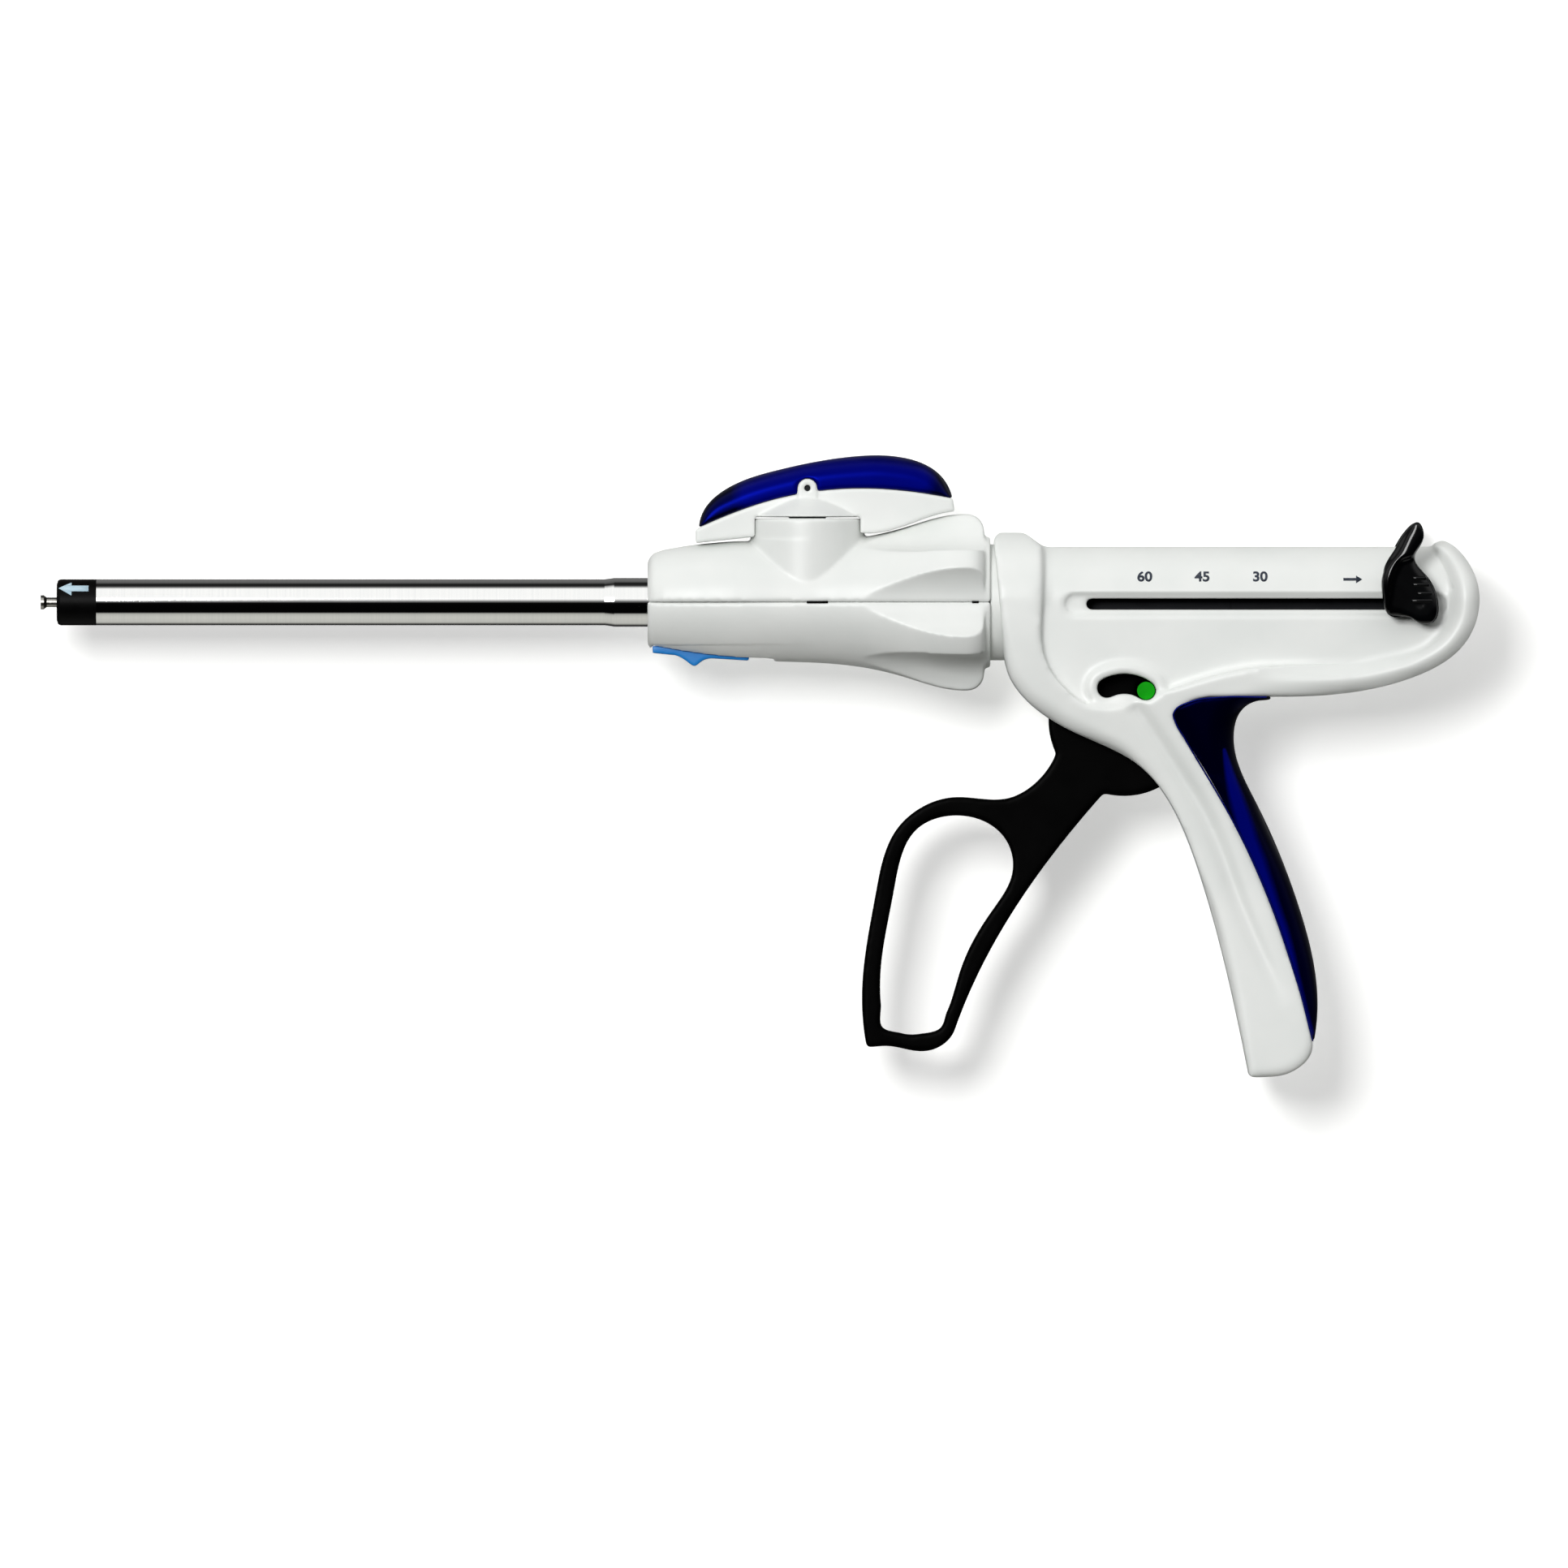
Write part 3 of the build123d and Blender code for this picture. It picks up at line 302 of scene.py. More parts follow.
def soften(bm, passes, seam=None, where=None):
    # rubs the edges round; along a parting plane it only rubs within the plane
    chosen = [v for v in bm.verts if where is None or where(v.co)]
    onSeam = [v for v in chosen if seam is not None and abs(v.co[seam]) < shaping["seam"] * mm]
    marked = set(onSeam)
    free = [v for v in chosen if v not in marked]
    for _ in range(passes):
        bmesh.ops.smooth_vert(bm, verts=free, factor=shaping["rubbing"], use_axis_x=True, use_axis_y=True,
                              use_axis_z=True)
        if onSeam:
            bmesh.ops.smooth_vert(bm, verts=onSeam, factor=shaping["rubbing"], use_axis_x=seam != 0,
                                  use_axis_y=seam != 1, use_axis_z=seam != 2)


def guideCurve(points, closed=False):
    # a smooth line through points of x, size and z in mm; the size is a radius, a depth or a reach
    curve = bpy.data.curves.new("guide", "CURVE")
    curve.dimensions = "3D"
    curve.resolution_u = shaping["guideSteps"]
    spline = curve.splines.new("BEZIER")
    spline.bezier_points.add(len(points) - 1)
    for knot, point in zip(spline.bezier_points, points):
        knot.co = Vector(point) * mm
        knot.handle_left_type = knot.handle_right_type = "AUTO"
    spline.use_cyclic_u = closed
    holder = bpy.data.objects.new("guide", curve)
    mesh = bpy.data.meshes.new_from_object(holder)
    line = [v.co.copy() for v in mesh.vertices]
    bpy.data.objects.remove(holder)
    bpy.data.curves.remove(curve)
    bpy.data.meshes.remove(mesh)
    return line


def lineTree(line):
    tree = kdtree.KDTree(len(line))
    for index, spot in enumerate(line):
        tree.insert((spot.x, 0, spot.z), index)
    tree.balance()
    return tree


def runAt(line, index):
    return line[min(index + 1, len(line) - 1)] - line[max(index - 1, 0)]


def eased(share):  # slow at both ends
    return share * share * (3 - 2 * share)


def roundOver(bm, line, halfWidth, inside, sides=(-1, 1)):
    # turns the square edge along a guide line into a round of the guide's own radius
    tree = lineTree(line)
    for v in bm.verts:
        side = 1 if v.co.y > 0 else -1
        if side not in sides:
            continue
        spot, index, gap = tree.find((v.co.x, 0, v.co.z))
        radius = line[index].y
        if radius < shaping["leastRound"] * mm or gap > radius:
            continue
        run = runAt(line, index)
        inward = Vector((run.z, 0, -run.x)).normalized() * inside
        depth = (v.co.x - spot.x) * inward.x + (v.co.z - spot.z) * inward.z
        flat = halfWidth(v.co.z / mm) * mm - radius
        reach = radius - depth
        rise = abs(v.co.y) - flat
        if reach <= 0 or rise <= 0:
            continue
        span = math.hypot(reach, rise)
        if span > radius:
            share = radius / span
            v.co += inward * (reach - reach * share)
            v.co.y = side * (flat + rise * share)


def pressGroove(bm, line, half, least):
    # presses a soft valley into the outer face; the guide's middle number is its depth
    tree = lineTree(line)
    bm.normal_update()
    for v in bm.verts:
        side = 1 if v.co.y > 0 else -1
        if v.normal.y * side < shaping["outward"] or abs(v.co.y) < least * mm:
            continue
        spot, index, gap = tree.find((v.co.x, 0, v.co.z))
        if gap < shaping["grooveReach"] * half * mm:
            v.co.y -= side * line[index].y * math.exp(-(gap / (half * mm)) ** 2)


def bevelBlock(bm, size, middle, rim, segments):
    # a small block with rounded edges, all in mm
    place = Matrix.Translation(Vector(middle) * mm) @ Matrix.Diagonal(Vector(size) * mm).to_4x4()
    made = bmesh.ops.create_cube(bm, size=1.0, matrix=place)
    edges = list(dict.fromkeys(edge for v in made["verts"] for edge in v.link_edges))
    bmesh.ops.bevel(bm, geom=edges, offset=rim * mm, offset_type="OFFSET", affect="EDGES", segments=segments,
                    profile=0.5, material=-1)


def paintedLightMap(bm, line):
    # keeps on each point how near it lies to a guide line, whose middle number is the reach; the material paints
    # highlight near the line and shade away from it
    tree = lineTree(line)
    paintedLight = bm.verts.layers.float.new("paintedLight")
    for v in bm.verts:
        spot, index, gap = tree.find((v.co.x, 0, v.co.z))
        v[paintedLight] = math.exp(-(gap / line[index].y) ** 2)


# Handle shells: raised band round a sunk panel, grip with a soft valley towards the navy back
handleShell = {
    "voxel": 0.55,
    "passes": 6,
    "barrel": 18.2,         # half width at the shaft's height
    "half": ((-130, 14.6), (-85, 14.2), (-45, 15.0), (-20, 17.4), (0, 18.2)),
    # guide lines: x behind the nose's front, then radius or depth, then z
    "edge": ((111, 0, 14.6), (116.4, 0, 16.3), (123.8, 0, 9.9), (126.4, 0, 0), (122.7, 0.2, -10.6),
             (109, 1, -19.6), (84.7, 1.6, -24.3), (72, 1.6, -24.6), (58.3, 0.3, -24.7), (51, 0.2, -25.9),
             (46.9, 0.2, -28.6), (49.7, 0.2, -35.5), (66.3, 0.2, -65.1), (79, 0.2, -98.9), (83, 1.2, -114.5),
             (79.4, 1.6, -121.1), (66.6, 1.0, -123.6)),
    "front": ((66.6, 1.0, -123.6), (60.5, 1.8, -93), (53.9, 2.0, -71.4), (37.2, 2.4, -42), (16.1, 4, -31.3),
              (5.5, 3, -21.8), (2.4, 1.2, -9), (1.5, 0.8, 0)),
    "valley": ((37.2, 1.6, -27.7), (46.4, 1.9, -41.8), (55.6, 1.8, -57.0), (65.4, 1.2, -81.6), (76, 0, -105)),
    "valleyHalf": 1.7,
    "valleyFace": 12.5,     # only points further out than this are pressed
    "hump": (66.0, 92.0),   # the swept band fades in between these
    "humpLow": -26.0,       # the band stays above this height
    "humpSkin": 0.3,        # how far under the panel the outer face may lie
    "inner": ((48, 0, -18.5), (62, 0, -16.6), (80, 0, -16.0), (98.2, 0, -14.6), (112.8, 0, -9.6),
              (116.8, 0, -4.9), (117.8, 0, 2.0), (116.8, 0, 7.8), (112.8, 0, 14.6), (110.8, 0, 18)),
    "outer": ((58.3, 0, -24.7), (84.7, 0, -24.3), (109, 0, -19.6), (122.7, 0, -10.6), (126.4, 0, 0),
              (123.8, 0, 9.9), (116.4, 0, 16.3), (111, 0, 14.6)),
    "crest": 0.55,          # share of the band's width where it stands highest
    "fall": 4.5,            # how far the band rolls over at the outline
    "panel": 14.6,          # half width of the sunk panel
    "brow": (112.6, 117.4),  # where the hump climbs out of the barrel's top
    "browLead": 3.0,        # flattened this far ahead of the climb
    "humpPasses": 8,
    "humpInside": 4.0,      # points nearer the middle than this stay
    "slot": (16.0, 118.6),  # start and end behind the nose's front
    "slotLevel": -0.5,
    "slotKeep": 4.5,        # half height that the hump's rubbing leaves alone
    "recess": 4.8,          # half height of the slot's recess
    "recessPasses": 2,
    "collar": (9.6, 16.4),  # where the nose sinks softly into the panel
    "collarLow": -13.5,
    "collarReach": 14.0,    # only the outside of the nose is rubbed
    "collarPasses": 16,
}


def handleHalf(z):
    if z > 0:
        return math.sqrt(max(handleShell["barrel"] ** 2 - z * z, 0))
    return float(np.interp(z, *zip(*handleShell["half"])))


def atHandle(points):
    return guideCurve([(handleFront + x, radius, z) for x, radius, z in points])


def sweepHump(bm):
    # the band round the rear rises out of the panel to a soft crest and rolls over to the outline
    inner = atHandle(handleShell["inner"])
    innerTree = lineTree(inner)
    outerTree = lineTree(atHandle(handleShell["outer"]))
    begin, full = handleShell["hump"]
    panel = handleShell["panel"]
    crest = handleShell["crest"]
    foot, brow = handleShell["brow"]
    skin = panel - handleShell["humpSkin"]
    for v in bm.verts:
        x = v.co.x / mm - handleFront
        if v.co.z > panel * mm and foot - handleShell["browLead"] < x < brow:
            climb = min(max((x - foot) / (brow - foot), 0), 1)
            v.co.z = panel * mm + (v.co.z - panel * mm) * eased(climb)
        y, z = abs(v.co.y) / mm, v.co.z / mm
        if x < begin or z < handleShell["humpLow"] or (math.hypot(y, z) if z > 0 else y) < skin:
            continue
        spot, index, gap = innerTree.find((v.co.x, 0, v.co.z))
        run = runAt(inner, index)
        beyond = (v.co.x - spot.x) * run.z - (v.co.z - spot.z) * run.x
        if beyond < 0:
            continue
        rest = outerTree.find((v.co.x, 0, v.co.z))[2]
        share = gap / max(gap + rest, 1e-9)
        low = math.sqrt(max(panel ** 2 - z * z, 0)) if z > 0 else panel
        top = handleHalf(z)
        if share < crest:
            height = low + (top - low) * eased(share / crest)
        else:
            roll = (share - crest) / (1 - crest)
            height = top - handleShell["fall"] * (1 - math.sqrt(max(1 - roll * roll, 0)))
        fade = min(max((x - begin) / (full - begin), 0), 1)
        if height < y:
            v.co.y = math.copysign((y + (height - y) * fade) * mm, v.co.y)


def alongSlot(co, half):
    start, end = handleShell["slot"]
    return start < co.x / mm - handleFront < end and abs(co.z / mm - handleShell["slotLevel"]) < half


def onHump(co):  # the slot's recess keeps its edge
    outside = co.x / mm - handleFront > handleShell["hump"][1] and abs(co.y) > handleShell["humpInside"] * mm
    return outside and not alongSlot(co, handleShell["slotKeep"])


def inRecess(co):
    return alongSlot(co, handleShell["recess"])


def besideRecess(co):
    return not inRecess(co)


def atCollar(co):
    start, end = handleShell["collar"]
    along = start < co.x / mm - handleFront < end
    return along and co.z > handleShell["collarLow"] * mm and abs(co.y) + co.z > handleShell["collarReach"] * mm


for node, name in (("handle_shell_left", "handleLeft"), ("handle_shell_right", "handleRight")):
    bm = remeshed(node, handleShell["voxel"])
    roundOver(bm, atHandle(handleShell["edge"]), handleHalf, 1)
    roundOver(bm, atHandle(handleShell["front"]), handleHalf, 1)
    sweepHump(bm)
    soften(bm, handleShell["humpPasses"], seam=1, where=onHump)
    pressGroove(bm, atHandle(handleShell["valley"]), handleShell["valleyHalf"], handleShell["valleyFace"])
    soften(bm, handleShell["collarPasses"], seam=1, where=atCollar)
    soften(bm, handleShell["passes"], seam=1, where=besideRecess)
    soften(bm, handleShell["recessPasses"], seam=1, where=inRecess)
    addPiece(name, bm, "whiteAbs", "handle", node)
print("handle shells shaped")

# Soft grip: rounded into the palm, with a fine navy lip against the shells
gripBack = {
    "voxel": 0.45,
    "passes": 6,
    "edge": ((72.1, 3, -25.5), (63.8, 6, -29.2), (62.5, 7.5, -35.5), (68.5, 7.5, -52.4), (79, 7, -77.7),
             (84.3, 4.5, -103.1), (83.4, 2, -114)),
    "dip": ((47.3, 0.8, -31.3), (49.7, 0.9, -35.5), (66.3, 0.9, -65.1), (79, 0.6, -98.9), (83, 0.2, -114)),
    "dipHalf": 3.0,
    "dipFace": 12.0,        # only points further out than this are pressed
    # line of the painted highlight streak; away from it the tone sinks to painted shade
    "paintedLight": ((60.0, 0.5, -38.5), (61.4, 1.3, -44.5), (63.4, 2.0, -51.7), (69.3, 2.6, -71.1), (74.9, 2.2, -86.7),
            (79.8, 1.5, -104.2), (82.4, 1.0, -112)),
    "bead": 0.22,           # radius of the lip
    "beadSides": 8,
    "beadSunk": 0.1,        # how deep its middle lies in the shells
    "beadLine": ((71, 0, -24.7), (58.3, 0, -24.8), (51, 0, -26.0), (46.9, 0, -28.7), (47.3, 0, -31.3),
                 (49.7, 0, -35.5), (66.3, 0, -65.1), (79, 0, -98.9), (83, 0, -114.2)),
}
bm = remeshed("rear_grip", gripBack["voxel"])
roundOver(bm, atHandle(gripBack["edge"]), handleHalf, 1)
pressGroove(bm, atHandle(gripBack["dip"]), gripBack["dipHalf"], gripBack["dipFace"])
soften(bm, gripBack["passes"])
paintedLightMap(bm, atHandle(gripBack["paintedLight"]))
addPiece("gripBack", bm, "navyElastomer", "handle", "rear_grip")
line = atHandle(gripBack["beadLine"])
for name, side in (("gripBeadLeft", -1), ("gripBeadRight", 1)):
    bm = bmesh.new()
    ring = bmesh.ops.create_circle(bm, segments=gripBack["beadSides"], radius=gripBack["bead"] * mm)["verts"]
    ahead = Vector((0, 0, 1))
    spot = Vector((0, 0, 0))
    for index, point in enumerate(line):
        target = Vector((point.x, side * (handleHalf(point.z / mm) - gripBack["beadSunk"]) * mm, point.z))
        run = runAt(line, index).normalized()
        if index:
            edges = [edge for edge in bm.edges if edge.verts[0] in ring and edge.verts[1] in ring]
            made = bmesh.ops.extrude_edge_only(bm, edges=edges)
            ring = [e for e in made["geom"] if isinstance(e, bmesh.types.BMVert)]
        turn = ahead.rotation_difference(run).to_matrix()
        for v in ring:
            v.co = target + turn @ (v.co - spot)
        ahead, spot = run, target
    bmesh.ops.holes_fill(bm, edges=[edge for edge in bm.edges if edge.is_boundary], sides=gripBack["beadSides"])
    bmesh.ops.recalc_face_normals(bm, faces=bm.faces[:])
    addPiece(name, bm, "mouldedNavyAbs", "handle")
print("soft grip shaped")

# Rotation knob: two halves with rubbed flutes and a fine parting line
knobHalves = {
    "voxel": 0.42,
    "passes": 4,
    "front": 153.8,
    "fuller": ((0, -0.6), (0.7, 0.1), (1.8, 0.7), (4, 1.0), (10, 1.1), (22, 0.9), (34, 0.3), (44, 0)),  # by x
    "under": 0.3,           # share of that below the parting line
    "skin": 11.0,           # only points further out than this swell
    "swellFrom": -11.0,     # heights between which the nose swells
    "swellTo": 16.5,
    "seam": 0.15,           # reach of the parting faces
    "seamGap": 0.4,         # share of the gap that stays open
}
for node, name in (("knob_upper", "knobTop"), ("knob_lower", "knobUnder")):
    bm = remeshed(node, knobHalves["voxel"])
    for v in bm.verts:  # the nose swells a little ahead of the turret
        reach = math.hypot(v.co.y, v.co.z)
        swell = float(np.interp(v.co.x / mm - knobHalves["front"], *zip(*knobHalves["fuller"]))) * mm
        if v.co.z < 0:
            swell *= knobHalves["under"]
        inHeight = v.co.z > knobHalves["swellFrom"] * mm and abs(v.co.z) < knobHalves["swellTo"] * mm
        if reach > knobHalves["skin"] * mm and inHeight:
            v.co.y *= (reach + swell) / reach
            v.co.z *= (reach + swell) / reach
    soften(bm, knobHalves["passes"], seam=2)
    for v in bm.verts:  # the halves close to a hairline
        if abs(v.co.z) < knobHalves["seam"] * mm:
            v.co.z *= knobHalves["seamGap"]
    addPiece(name, bm, "whiteAbs", "knob", node)
# black blocks sunk into the parting line, painted shade standing in for the seam's slots
seamWindows = {"spans": ((195.2, 200.7), (238.2, 239.9)), "depth": 0.6, "height": 0.62, "sunk": 0.27,
               "edge": 0.1, "edgeSteps": 2, "margin": 0.5,
               "strip": 0.8}  # the strip above the parting line tells where the skin lies
skin = [v.co for v in bpy.data.objects["knobTop"].data.vertices if v.co.z < seamWindows["strip"] * mm]
margin = seamWindows["margin"]
bm = bmesh.new()
for start, end in seamWindows["spans"]:
    face = max(abs(co.y) for co in skin if start - margin < co.x / mm < end + margin) / mm
    for side in (-1, 1):
        bevelBlock(bm, (end - start, seamWindows["depth"], seamWindows["height"]),
                   ((start + end) / 2, side * (face - seamWindows["sunk"]), 0), seamWindows["edge"],
                   seamWindows["edgeSteps"])
addPiece("seamWindows", bm, "mattBlackNylon", "knob")
print("rotation knob shaped")

# Articulation lever: white foot, navy crown rounded across
lever = {
    "voxel": 0.27,
    "passes": 7,
    "half": 7.0,
    "crown": ((37.8, 2, 27.1), (32.8, 4.5, 34.6), (22.6, 5.5, 38), (12.5, 5.5, 38), (-7.8, 5, 34.4),
              (-21.3, 4.5, 29.4), (-26.3, 3, 25), (-28.3, 1, 19.5)),
    # line of the painted highlight band on the crown; away from it the tone sinks to painted shade, black at the
    # tips
    "paintedLight": ((-14.8, 4.5, 27.9), (-7.4, 5.5, 29.9), (5.3, 6, 32.3), (13.8, 6, 33), (22.2, 5.5, 32.7),
            (28.5, 4.5, 31.7)),
}


def atLever(points):
    return guideCurve([(turretX + x, radius, z) for x, radius, z in points])


bm = remeshed("lever_base", lever["voxel"])
soften(bm, lever["passes"])
addPiece("leverFoot", bm, "whiteAbs", "lever", "lever_base")
bm = remeshed("lever_cap", lever["voxel"])
roundOver(bm, atLever(lever["crown"]), lambda z: lever["half"], -1)
soften(bm, 2 * lever["passes"])
paintedLightMap(bm, atLever(lever["paintedLight"]))
addPiece("leverCrown", bm, "polishedNavyAbs", "lever", "lever_cap")
print("lever shaped")

# Trigger: black loop with rolled edges
triggerLoop = {
    "voxel": 0.5,
    "passes": 10,
    "corners": ((215.6, -109.4, -1.1, -1.0), (229.0, -110.6, 1.0, -0.5)),  # where, and how far the opening widens
    "reach": 5.0,
}
bm = remeshed("trigger_handle", triggerLoop["voxel"])
soften(bm, triggerLoop["passes"])
for x, z, across, down in triggerLoop["corners"]:
    for v in bm.verts:
        near = 1 - math.hypot(v.co.x - x * mm, v.co.z - z * mm) / (triggerLoop["reach"] * mm)
        if near > 0:
            v.co.x += across * mm * eased(near)
            v.co.z += down * mm * eased(near)
addPiece("triggerLoop", bm, "blackNylon", "trigger", "trigger_handle")
print("trigger shaped")

# Unload slider, and its spring copied as it stands
unloadSlider = {"voxel": 0.3, "passes": 4, "coilKeep": 0.36}  # share the spring keeps when closed up
bm = remeshed("unload_slider", unloadSlider["voxel"])
soften(bm, unloadSlider["passes"])
addPiece("unloadThumb", bm, "blueAcetal", "unload", "unload_slider")
coil = addPiece("unloadCoil", mergedCopy("unload_spring"), "springSteel", "knob", "unload_spring")
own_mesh(coil)
print("slider shaped")

# Retraction knobs: leaf leaning forward above a sunk, ribbed thumb pad
puller = {
    "voxel": 0.3,
    "passes": 5,
    "outline": ((-4.9, 1.5, -3.3), (-8.3, 2.2, -2.7), (-9.8, 2.2, 2), (-9.6, 2, 8), (-5.6, 1.4, 13.6),
                (-2.8, 1.2, 18.9), (-0.7, 0.9, 21.4), (1.0, 1.0, 17.8), (-1.4, 1.2, 11.9), (2, 2, 7),
                (4.4, 2, 2), (3.6, 2, -4.6), (0.3, 1.5, -5.2)),
    "level": handleShell["slotLevel"],
    "wider": 1.5,           # how far the leaf leans forward of its solid
    "leaf": ((8, -9.6, -1.0), (12, -6.8, -1.4), (17, -3.9, 0.8), (21.5, -0.8, 0.2)),  # z, front, back
    "step": ((2.2, 1.5, 22), (0.97, 1.5, 18.4), (0.07, 1.5, 15.7), (-2.0, 1.5, 13.1), (-5.5, 1.5, 11.5),
             (-7.3, 1.5, 8.3), (-8.4, 1.5, 3.6), (-9.2, 1.5, -1.7), (-9.6, 1.5, -6)),
    "stepRun": 1.3,
    "stepSkin": 2.4,        # only points this near the outer face sink
    "ribs": ((-2.0, 1.7, 6.7), (-2.0, 2.5, 5.0), (-0.8, 3.2, 2.7), (-2.3, 3.2, 0.8)),  # start, end, z
    "ribThick": 1.0,
    "ribDeep": 1.6,
    "ribSunk": 2.0,
    "ribEdge": 0.42,
    "ribSteps": 3,
    "plug": 1.8,            # radius that closes the rod's bore
    "plugDeep": 1.8,
    "plugSunk": 1.0,
    "rodHalf": 1.1,
}
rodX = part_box("coupling_rod")[0].x / mm + puller["rodHalf"]


def atPuller(points, closed=False):
    return guideCurve([(rodX + x, size, z + puller["level"]) for x, size, z in points], closed)


leafZ, leafFront, leafBack = zip(*puller["leaf"])
for node, name, side in (("retraction_knob_left", "pullerLeft", -1), ("retraction_knob_right", "pullerRight", 1)):
    low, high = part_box(node)
    face = max(abs(low.y), abs(high.y)) / mm
    plugSpot = (rodX, side * (face - puller["plugSunk"]), puller["level"])
    bm = remeshed(node, puller["voxel"], (plugSpot, puller["plug"], puller["plugDeep"]))
    for v in bm.verts:
        x = v.co.x / mm - rodX
        z = v.co.z / mm - puller["level"]
        if leafZ[0] < z < leafZ[-1]:
            front = float(np.interp(z, leafZ, leafFront))
            back = float(np.interp(z, leafZ, leafBack))
            share = min(max((back - x) / (back - front), 0), 1)
            v.co.x -= puller["wider"] * mm * share * math.sin(math.pi * (z - leafZ[0]) / (leafZ[-1] - leafZ[0]))
    roundOver(bm, atPuller(puller["outline"], True), lambda z: face, 1, sides=(side,))
    soften(bm, puller["passes"])
    line = atPuller(puller["step"])  # the pad lies lower than the leaf that sweeps down in front of it
    tree = lineTree(line)
    for v in bm.verts:
        spot, index, gap = tree.find((v.co.x, 0, v.co.z))
        run = runAt(line, index)
        past = (v.co.x - spot.x) * -run.z + (v.co.z - spot.z) * run.x
        if past > 0 and abs(v.co.y) > (face - puller["stepSkin"]) * mm:
            v.co.y -= side * line[index].y * eased(min(gap / (puller["stepRun"] * mm), 1))
    soften(bm, puller["passes"])
    for start, end, level in puller["ribs"]:
        middle = (rodX + (start + end) / 2, side * (face - puller["ribSunk"]), level + puller["level"])
        bevelBlock(bm, (end - start, puller["ribDeep"], puller["ribThick"]), middle, puller["ribEdge"],
                   puller["ribSteps"])
    addPiece(name, bm, "polishedBlackAbs", "rack", node)
print("retraction knobs shaped")


def flatText(body, height):
    # the font's capitals stand a share of its size high
    curve = bpy.data.curves.new("marking", "FONT")
    curve.body = body
    curve.align_x = "CENTER"
    curve.align_y = "CENTER"
    curve.size = height * mm / printing["capital"]
    curve.offset = printing["bolder"] * mm
    holder = bpy.data.objects.new("marking", curve)
    mesh = bpy.data.meshes.new_from_object(holder)
    bm = bmesh.new()
    bm.from_mesh(mesh)
    bpy.data.objects.remove(holder)
    bpy.data.curves.remove(curve)
    bpy.data.meshes.remove(mesh)
    bmesh.ops.remove_doubles(bm, verts=bm.verts, dist=printing["weld"] * mm)
    return bm


def flatArrow(length, width, stem, head):
    # points along +x, drawn about its own middle
    half = length / 2
    outline = ((-half, -stem / 2), (half - head, -stem / 2), (half - head, -width / 2), (half, 0),
               (half - head, width / 2), (half - head, stem / 2), (-half, stem / 2))
    bm = bmesh.new()
    bm.faces.new([bm.verts.new((x * mm, y * mm, 0)) for x, y in outline])
    return bm


def wrapPrint(bm, x, radius, lean, turn, mirrored=False):
    # lays a flat print on a round of that radius about the shaft, lean degrees up from the side
    bmesh.ops.rotate(bm, verts=bm.verts, cent=(0, 0, 0), matrix=Matrix.Rotation(math.radians(turn), 3, "Z"))
    low = min(v.co.y for v in bm.verts)
    high = max(v.co.y for v in bm.verts)
    for cut in range(1, printing["strips"]):
        level = low + (high - low) * cut / printing["strips"]
        bmesh.ops.bisect_plane(bm, geom=bm.verts[:] + bm.edges[:] + bm.faces[:], plane_co=(0, level, 0),
                               plane_no=(0, 1, 0))
    made = bmesh.ops.extrude_face_region(bm, geom=bm.faces[:])
    raised = {e for e in made["geom"] if isinstance(e, bmesh.types.BMVert)}
    for v in bm.verts:
        reach = (radius + (printing["layer"] if v in raised else -printing["layer"])) * mm
        angle = math.radians(lean) + v.co.y / (radius * mm)
        v.co = (x * mm + v.co.x, -reach * math.cos(angle), reach * math.sin(angle))
    if mirrored:
        bmesh.ops.scale(bm, vec=(1, -1, 1), verts=bm.verts)
    bmesh.ops.recalc_face_normals(bm, faces=bm.faces[:])


# Printing: stroke scale and arrow on both panels, loading arrow on the socket
printing = {"layer": 0.05, "digits": 2.75, "bolder": 0.12, "capital": 0.7, "weld": 0.001, "strips": 12,
            "scale": (("60", 283.1), ("45", 298.1), ("30", 313.1)), "lean": 26.6,
            "arrow": (4.9, 2.2, 0.75, 1.6), "arrowX": 337.2, "arrowLean": 23.9,
            "loadArrow": (7.8, 4.3, 1.9, 3.4), "socket": 6.0, "loadX": 4.4, "loadLean": 37}
for side, mirrored in (("Left", False), ("Right", True)):
    for digits, x in printing["scale"]:
        bm = flatText(digits, printing["digits"])
        if mirrored:  # reads the right way round from the far side
            bmesh.ops.scale(bm, vec=(-1, 1, 1), verts=bm.verts)
        wrapPrint(bm, x, handleShell["panel"], printing["lean"], 0, mirrored)
        addPiece("stroke" + digits + side, bm, "slateInk", "handle")
    bm = flatArrow(*printing["arrow"])
    wrapPrint(bm, printing["arrowX"], handleShell["panel"], printing["arrowLean"], 0, mirrored)
    addPiece("strokeArrow" + side, bm, "slateInk", "handle")
bm = flatArrow(*printing["loadArrow"])
wrapPrint(bm, printing["loadX"], printing["socket"], printing["loadLean"], 180)
addPiece("loadArrow", bm, "paleInk", "knob")
print("printing laid on")

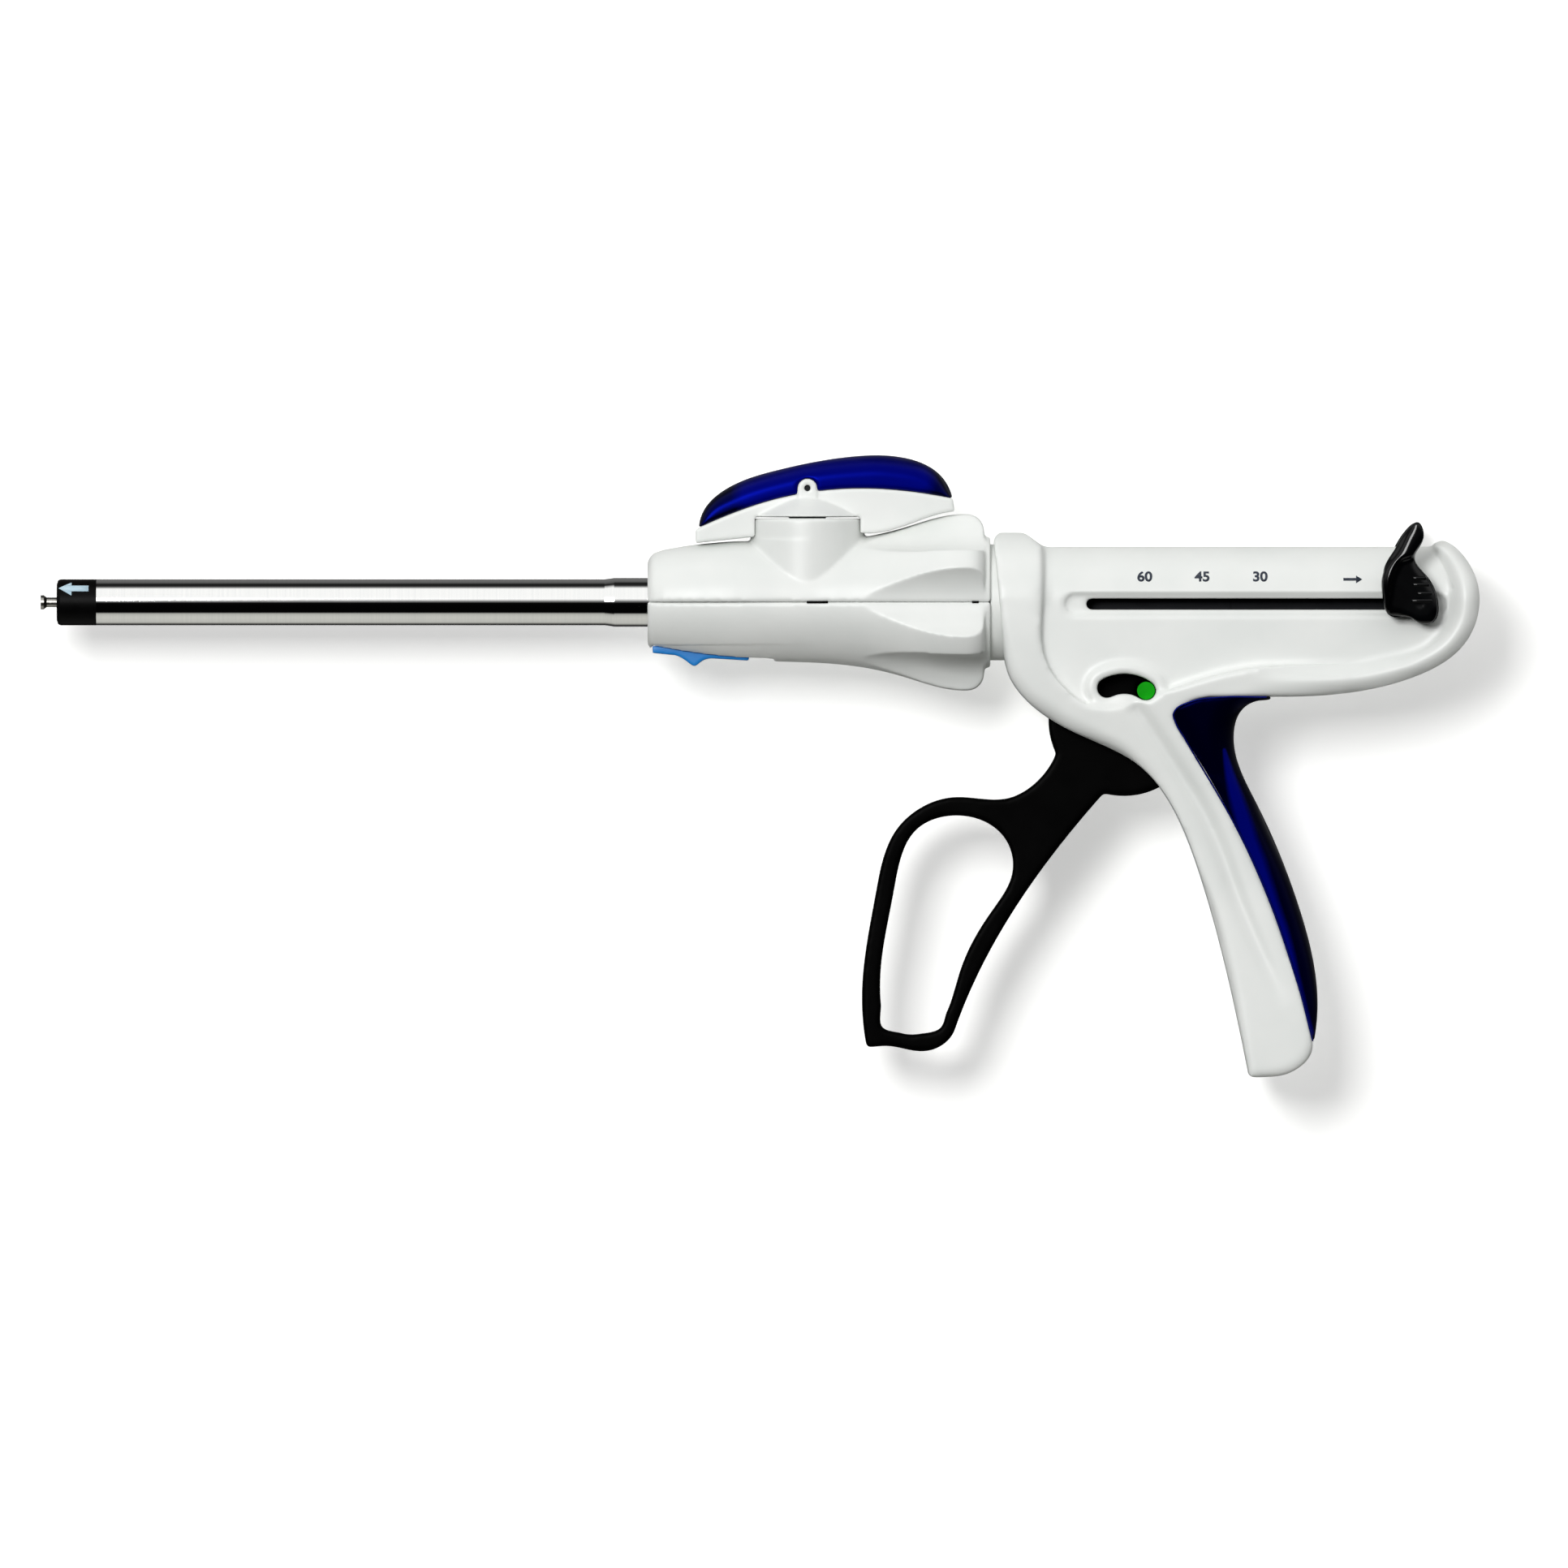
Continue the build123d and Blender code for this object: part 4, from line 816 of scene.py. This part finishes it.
# Studio: pale board behind the object, soft lamps, graded room light
studio = {
    "board": (0.19, 0.030, -0.05),
    "boardSize": 9.0,
    "boardTones": ("#f0f0ee", "#f2f2f0"),
    "boardFibre": 60,       # mm
    "boardRough": 0.9,
    "boardGlow": 0.42,      # only for the camera
    "lamps": (("keyLamp", (-0.40, -2.4, 0.58), 0.75, 41.0), ("rearLamp", (0.5, 2.2, 0.9), 1.6, 30.0)),
    "mirrored": "keyLamp",  # the one lamp that shows in polished pieces
    "aim": (0.19, 0, -0.03),
    "room": 0.74,
    "roomInMetal": 1.15,
    "warm": 0.94,           # blue share of the floor's grey
    "floorTop": 0.2,
    # brightness by height before the object: warm floor, dark below the camera, white above it, dark ceiling
    "roomFront": ((0.0, 0.56), (0.034, 0.51), (0.066, 0.42), (0.1, 0.02), (0.112, 0.001), (0.47, 0.001),
                  (0.53, 0.13), (0.6, 0.66), (0.64, 1.0), (0.972, 1.0), (0.997, 0.08), (1.0, 0.03)),
    # and behind it: the same floor, then dim up to a dark ceiling
    "roomBack": ((0.0, 0.54), (0.06, 0.5), (0.16, 0.08), (0.2, 0.03), (0.48, 0.05), (0.56, 0.16),
                 (0.86, 0.15), (0.95, 0.11), (0.988, 0.012), (1.0, 0.012)),
    "turn": 0.08,           # how softly the two halves of the room meet
}
bm = bmesh.new()
bmesh.ops.create_grid(bm, x_segments=1, y_segments=1, size=studio["boardSize"] / 2)
bmesh.ops.rotate(bm, verts=bm.verts, cent=(0, 0, 0), matrix=Matrix.Rotation(math.radians(90), 3, "X"))
bmesh.ops.translate(bm, verts=bm.verts, vec=studio["board"])
mesh = bpy.data.meshes.new("board")
bm.to_mesh(mesh)
bm.free()
board = bpy.data.objects.new("board", mesh)
scene.collection.objects.link(board)
board.visible_shadow = False
board.visible_glossy = False
material, tree, shader, place = newFinish("paperBoard")  # smooth white card, seen from its front only
fibre = addNode(tree, "ShaderNodeTexNoise", {"Scale": 1 / (studio["boardFibre"] * mm)}, {"Vector": place})
tone = addNode(tree, "ShaderNodeValToRGB", links={"Fac": fibre.outputs["Fac"]})
for stop, code in zip(tone.color_ramp.elements, studio["boardTones"]):
    stop.color = linear(code)
tree.links.new(tone.outputs[0], shader.inputs["Base Color"])
shader.inputs["Roughness"].default_value = studio["boardRough"]
rays = addNode(tree, "ShaderNodeLightPath")
glow = addNode(tree, "ShaderNodeMath", {"operation": "MULTIPLY", 1: studio["boardGlow"]},
               {0: rays.outputs["Is Camera Ray"]})
shine = addNode(tree, "ShaderNodeEmission", links={"Strength": glow.outputs[0]})
lit = addNode(tree, "ShaderNodeAddShader", links={0: shader.outputs[0], 1: shine.outputs[0]})
clear = addNode(tree, "ShaderNodeBsdfTransparent")
facing = addNode(tree, "ShaderNodeNewGeometry")
oneSided = addNode(tree, "ShaderNodeMixShader", links={0: facing.outputs["Backfacing"], 1: lit.outputs[0],
                                                       2: clear.outputs[0]})
output = [n for n in tree.nodes if n.type == "OUTPUT_MATERIAL"][0]
tree.links.new(oneSided.outputs[0], output.inputs["Surface"])
mesh.materials.append(material)

for name, spot, size, power in studio["lamps"]:
    light = bpy.data.lights.new(name, "AREA")
    light.size = size
    light.energy = power
    lamp = bpy.data.objects.new(name, light)
    scene.collection.objects.link(lamp)
    lamp.location = spot
    lamp.rotation_euler = (Vector(studio["aim"]) - Vector(spot)).to_track_quat("-Z", "Y").to_euler()
    lamp.visible_camera = False
    lamp.visible_glossy = name == studio["mirrored"]

world = bpy.data.worlds.new("studioRoom")
scene.world = world
world.use_nodes = True
tree = world.node_tree
tree.nodes.clear()
heading = addNode(tree, "ShaderNodeTexCoord").outputs["Generated"]
axes = addNode(tree, "ShaderNodeSeparateXYZ", links={0: heading})
height = addNode(tree, "ShaderNodeMapRange", {1: -1.0, 2: 1.0}, {0: axes.outputs["Z"]})
ramps = []
for stops in (studio["roomFront"], studio["roomBack"]):
    ramp = addNode(tree, "ShaderNodeValToRGB", links={"Fac": height.outputs[0]})
    bands = ramp.color_ramp.elements
    for position, level in stops[1:-1]:
        bands.new(position)
    for band, (position, level) in zip(bands, stops):
        band.position = position
        blue = studio["warm"] if position < studio["floorTop"] else 1.0
        band.color = (level, level, level * blue, 1)
    ramps.append(ramp)
behind = addNode(tree, "ShaderNodeMapRange", {1: -studio["turn"], 2: studio["turn"]}, {0: axes.outputs["Y"]})
room = addNode(tree, "ShaderNodeMix", {"data_type": "RGBA"},
               {0: behind.outputs[0], 6: ramps[0].outputs[0], 7: ramps[1].outputs[0]})
rays = addNode(tree, "ShaderNodeLightPath")
power = addNode(tree, "ShaderNodeMapRange", {3: studio["room"], 4: studio["roomInMetal"]},
                {0: rays.outputs["Is Glossy Ray"]})
roomLight = addNode(tree, "ShaderNodeBackground", links={"Color": room.outputs[2], "Strength": power.outputs[0]})
white = addNode(tree, "ShaderNodeBackground", {"Color": (1, 1, 1, 1)})
seen = addNode(tree, "ShaderNodeMixShader", links={0: rays.outputs["Is Camera Ray"], 1: roomLight.outputs[0],
                                                   2: white.outputs[0]})
addNode(tree, "ShaderNodeOutputWorld", links={0: seen.outputs[0]})

# Camera square on to the left side, as the photograph is taken
view = {"middle": (0.1893, -0.0473), "width": 0.4082, "away": 12.0}
lens = bpy.data.cameras.new("sideCamera")
lens.lens = lens.sensor_width * view["away"] / view["width"]
camera = bpy.data.objects.new("sideCamera", lens)
scene.collection.objects.link(camera)
camera.location = (view["middle"][0], -view["away"], view["middle"][1])
camera.rotation_euler = (math.radians(90), 0, 0)
scene.camera = camera
scene.view_settings.view_transform = "Standard"
print("studio set")
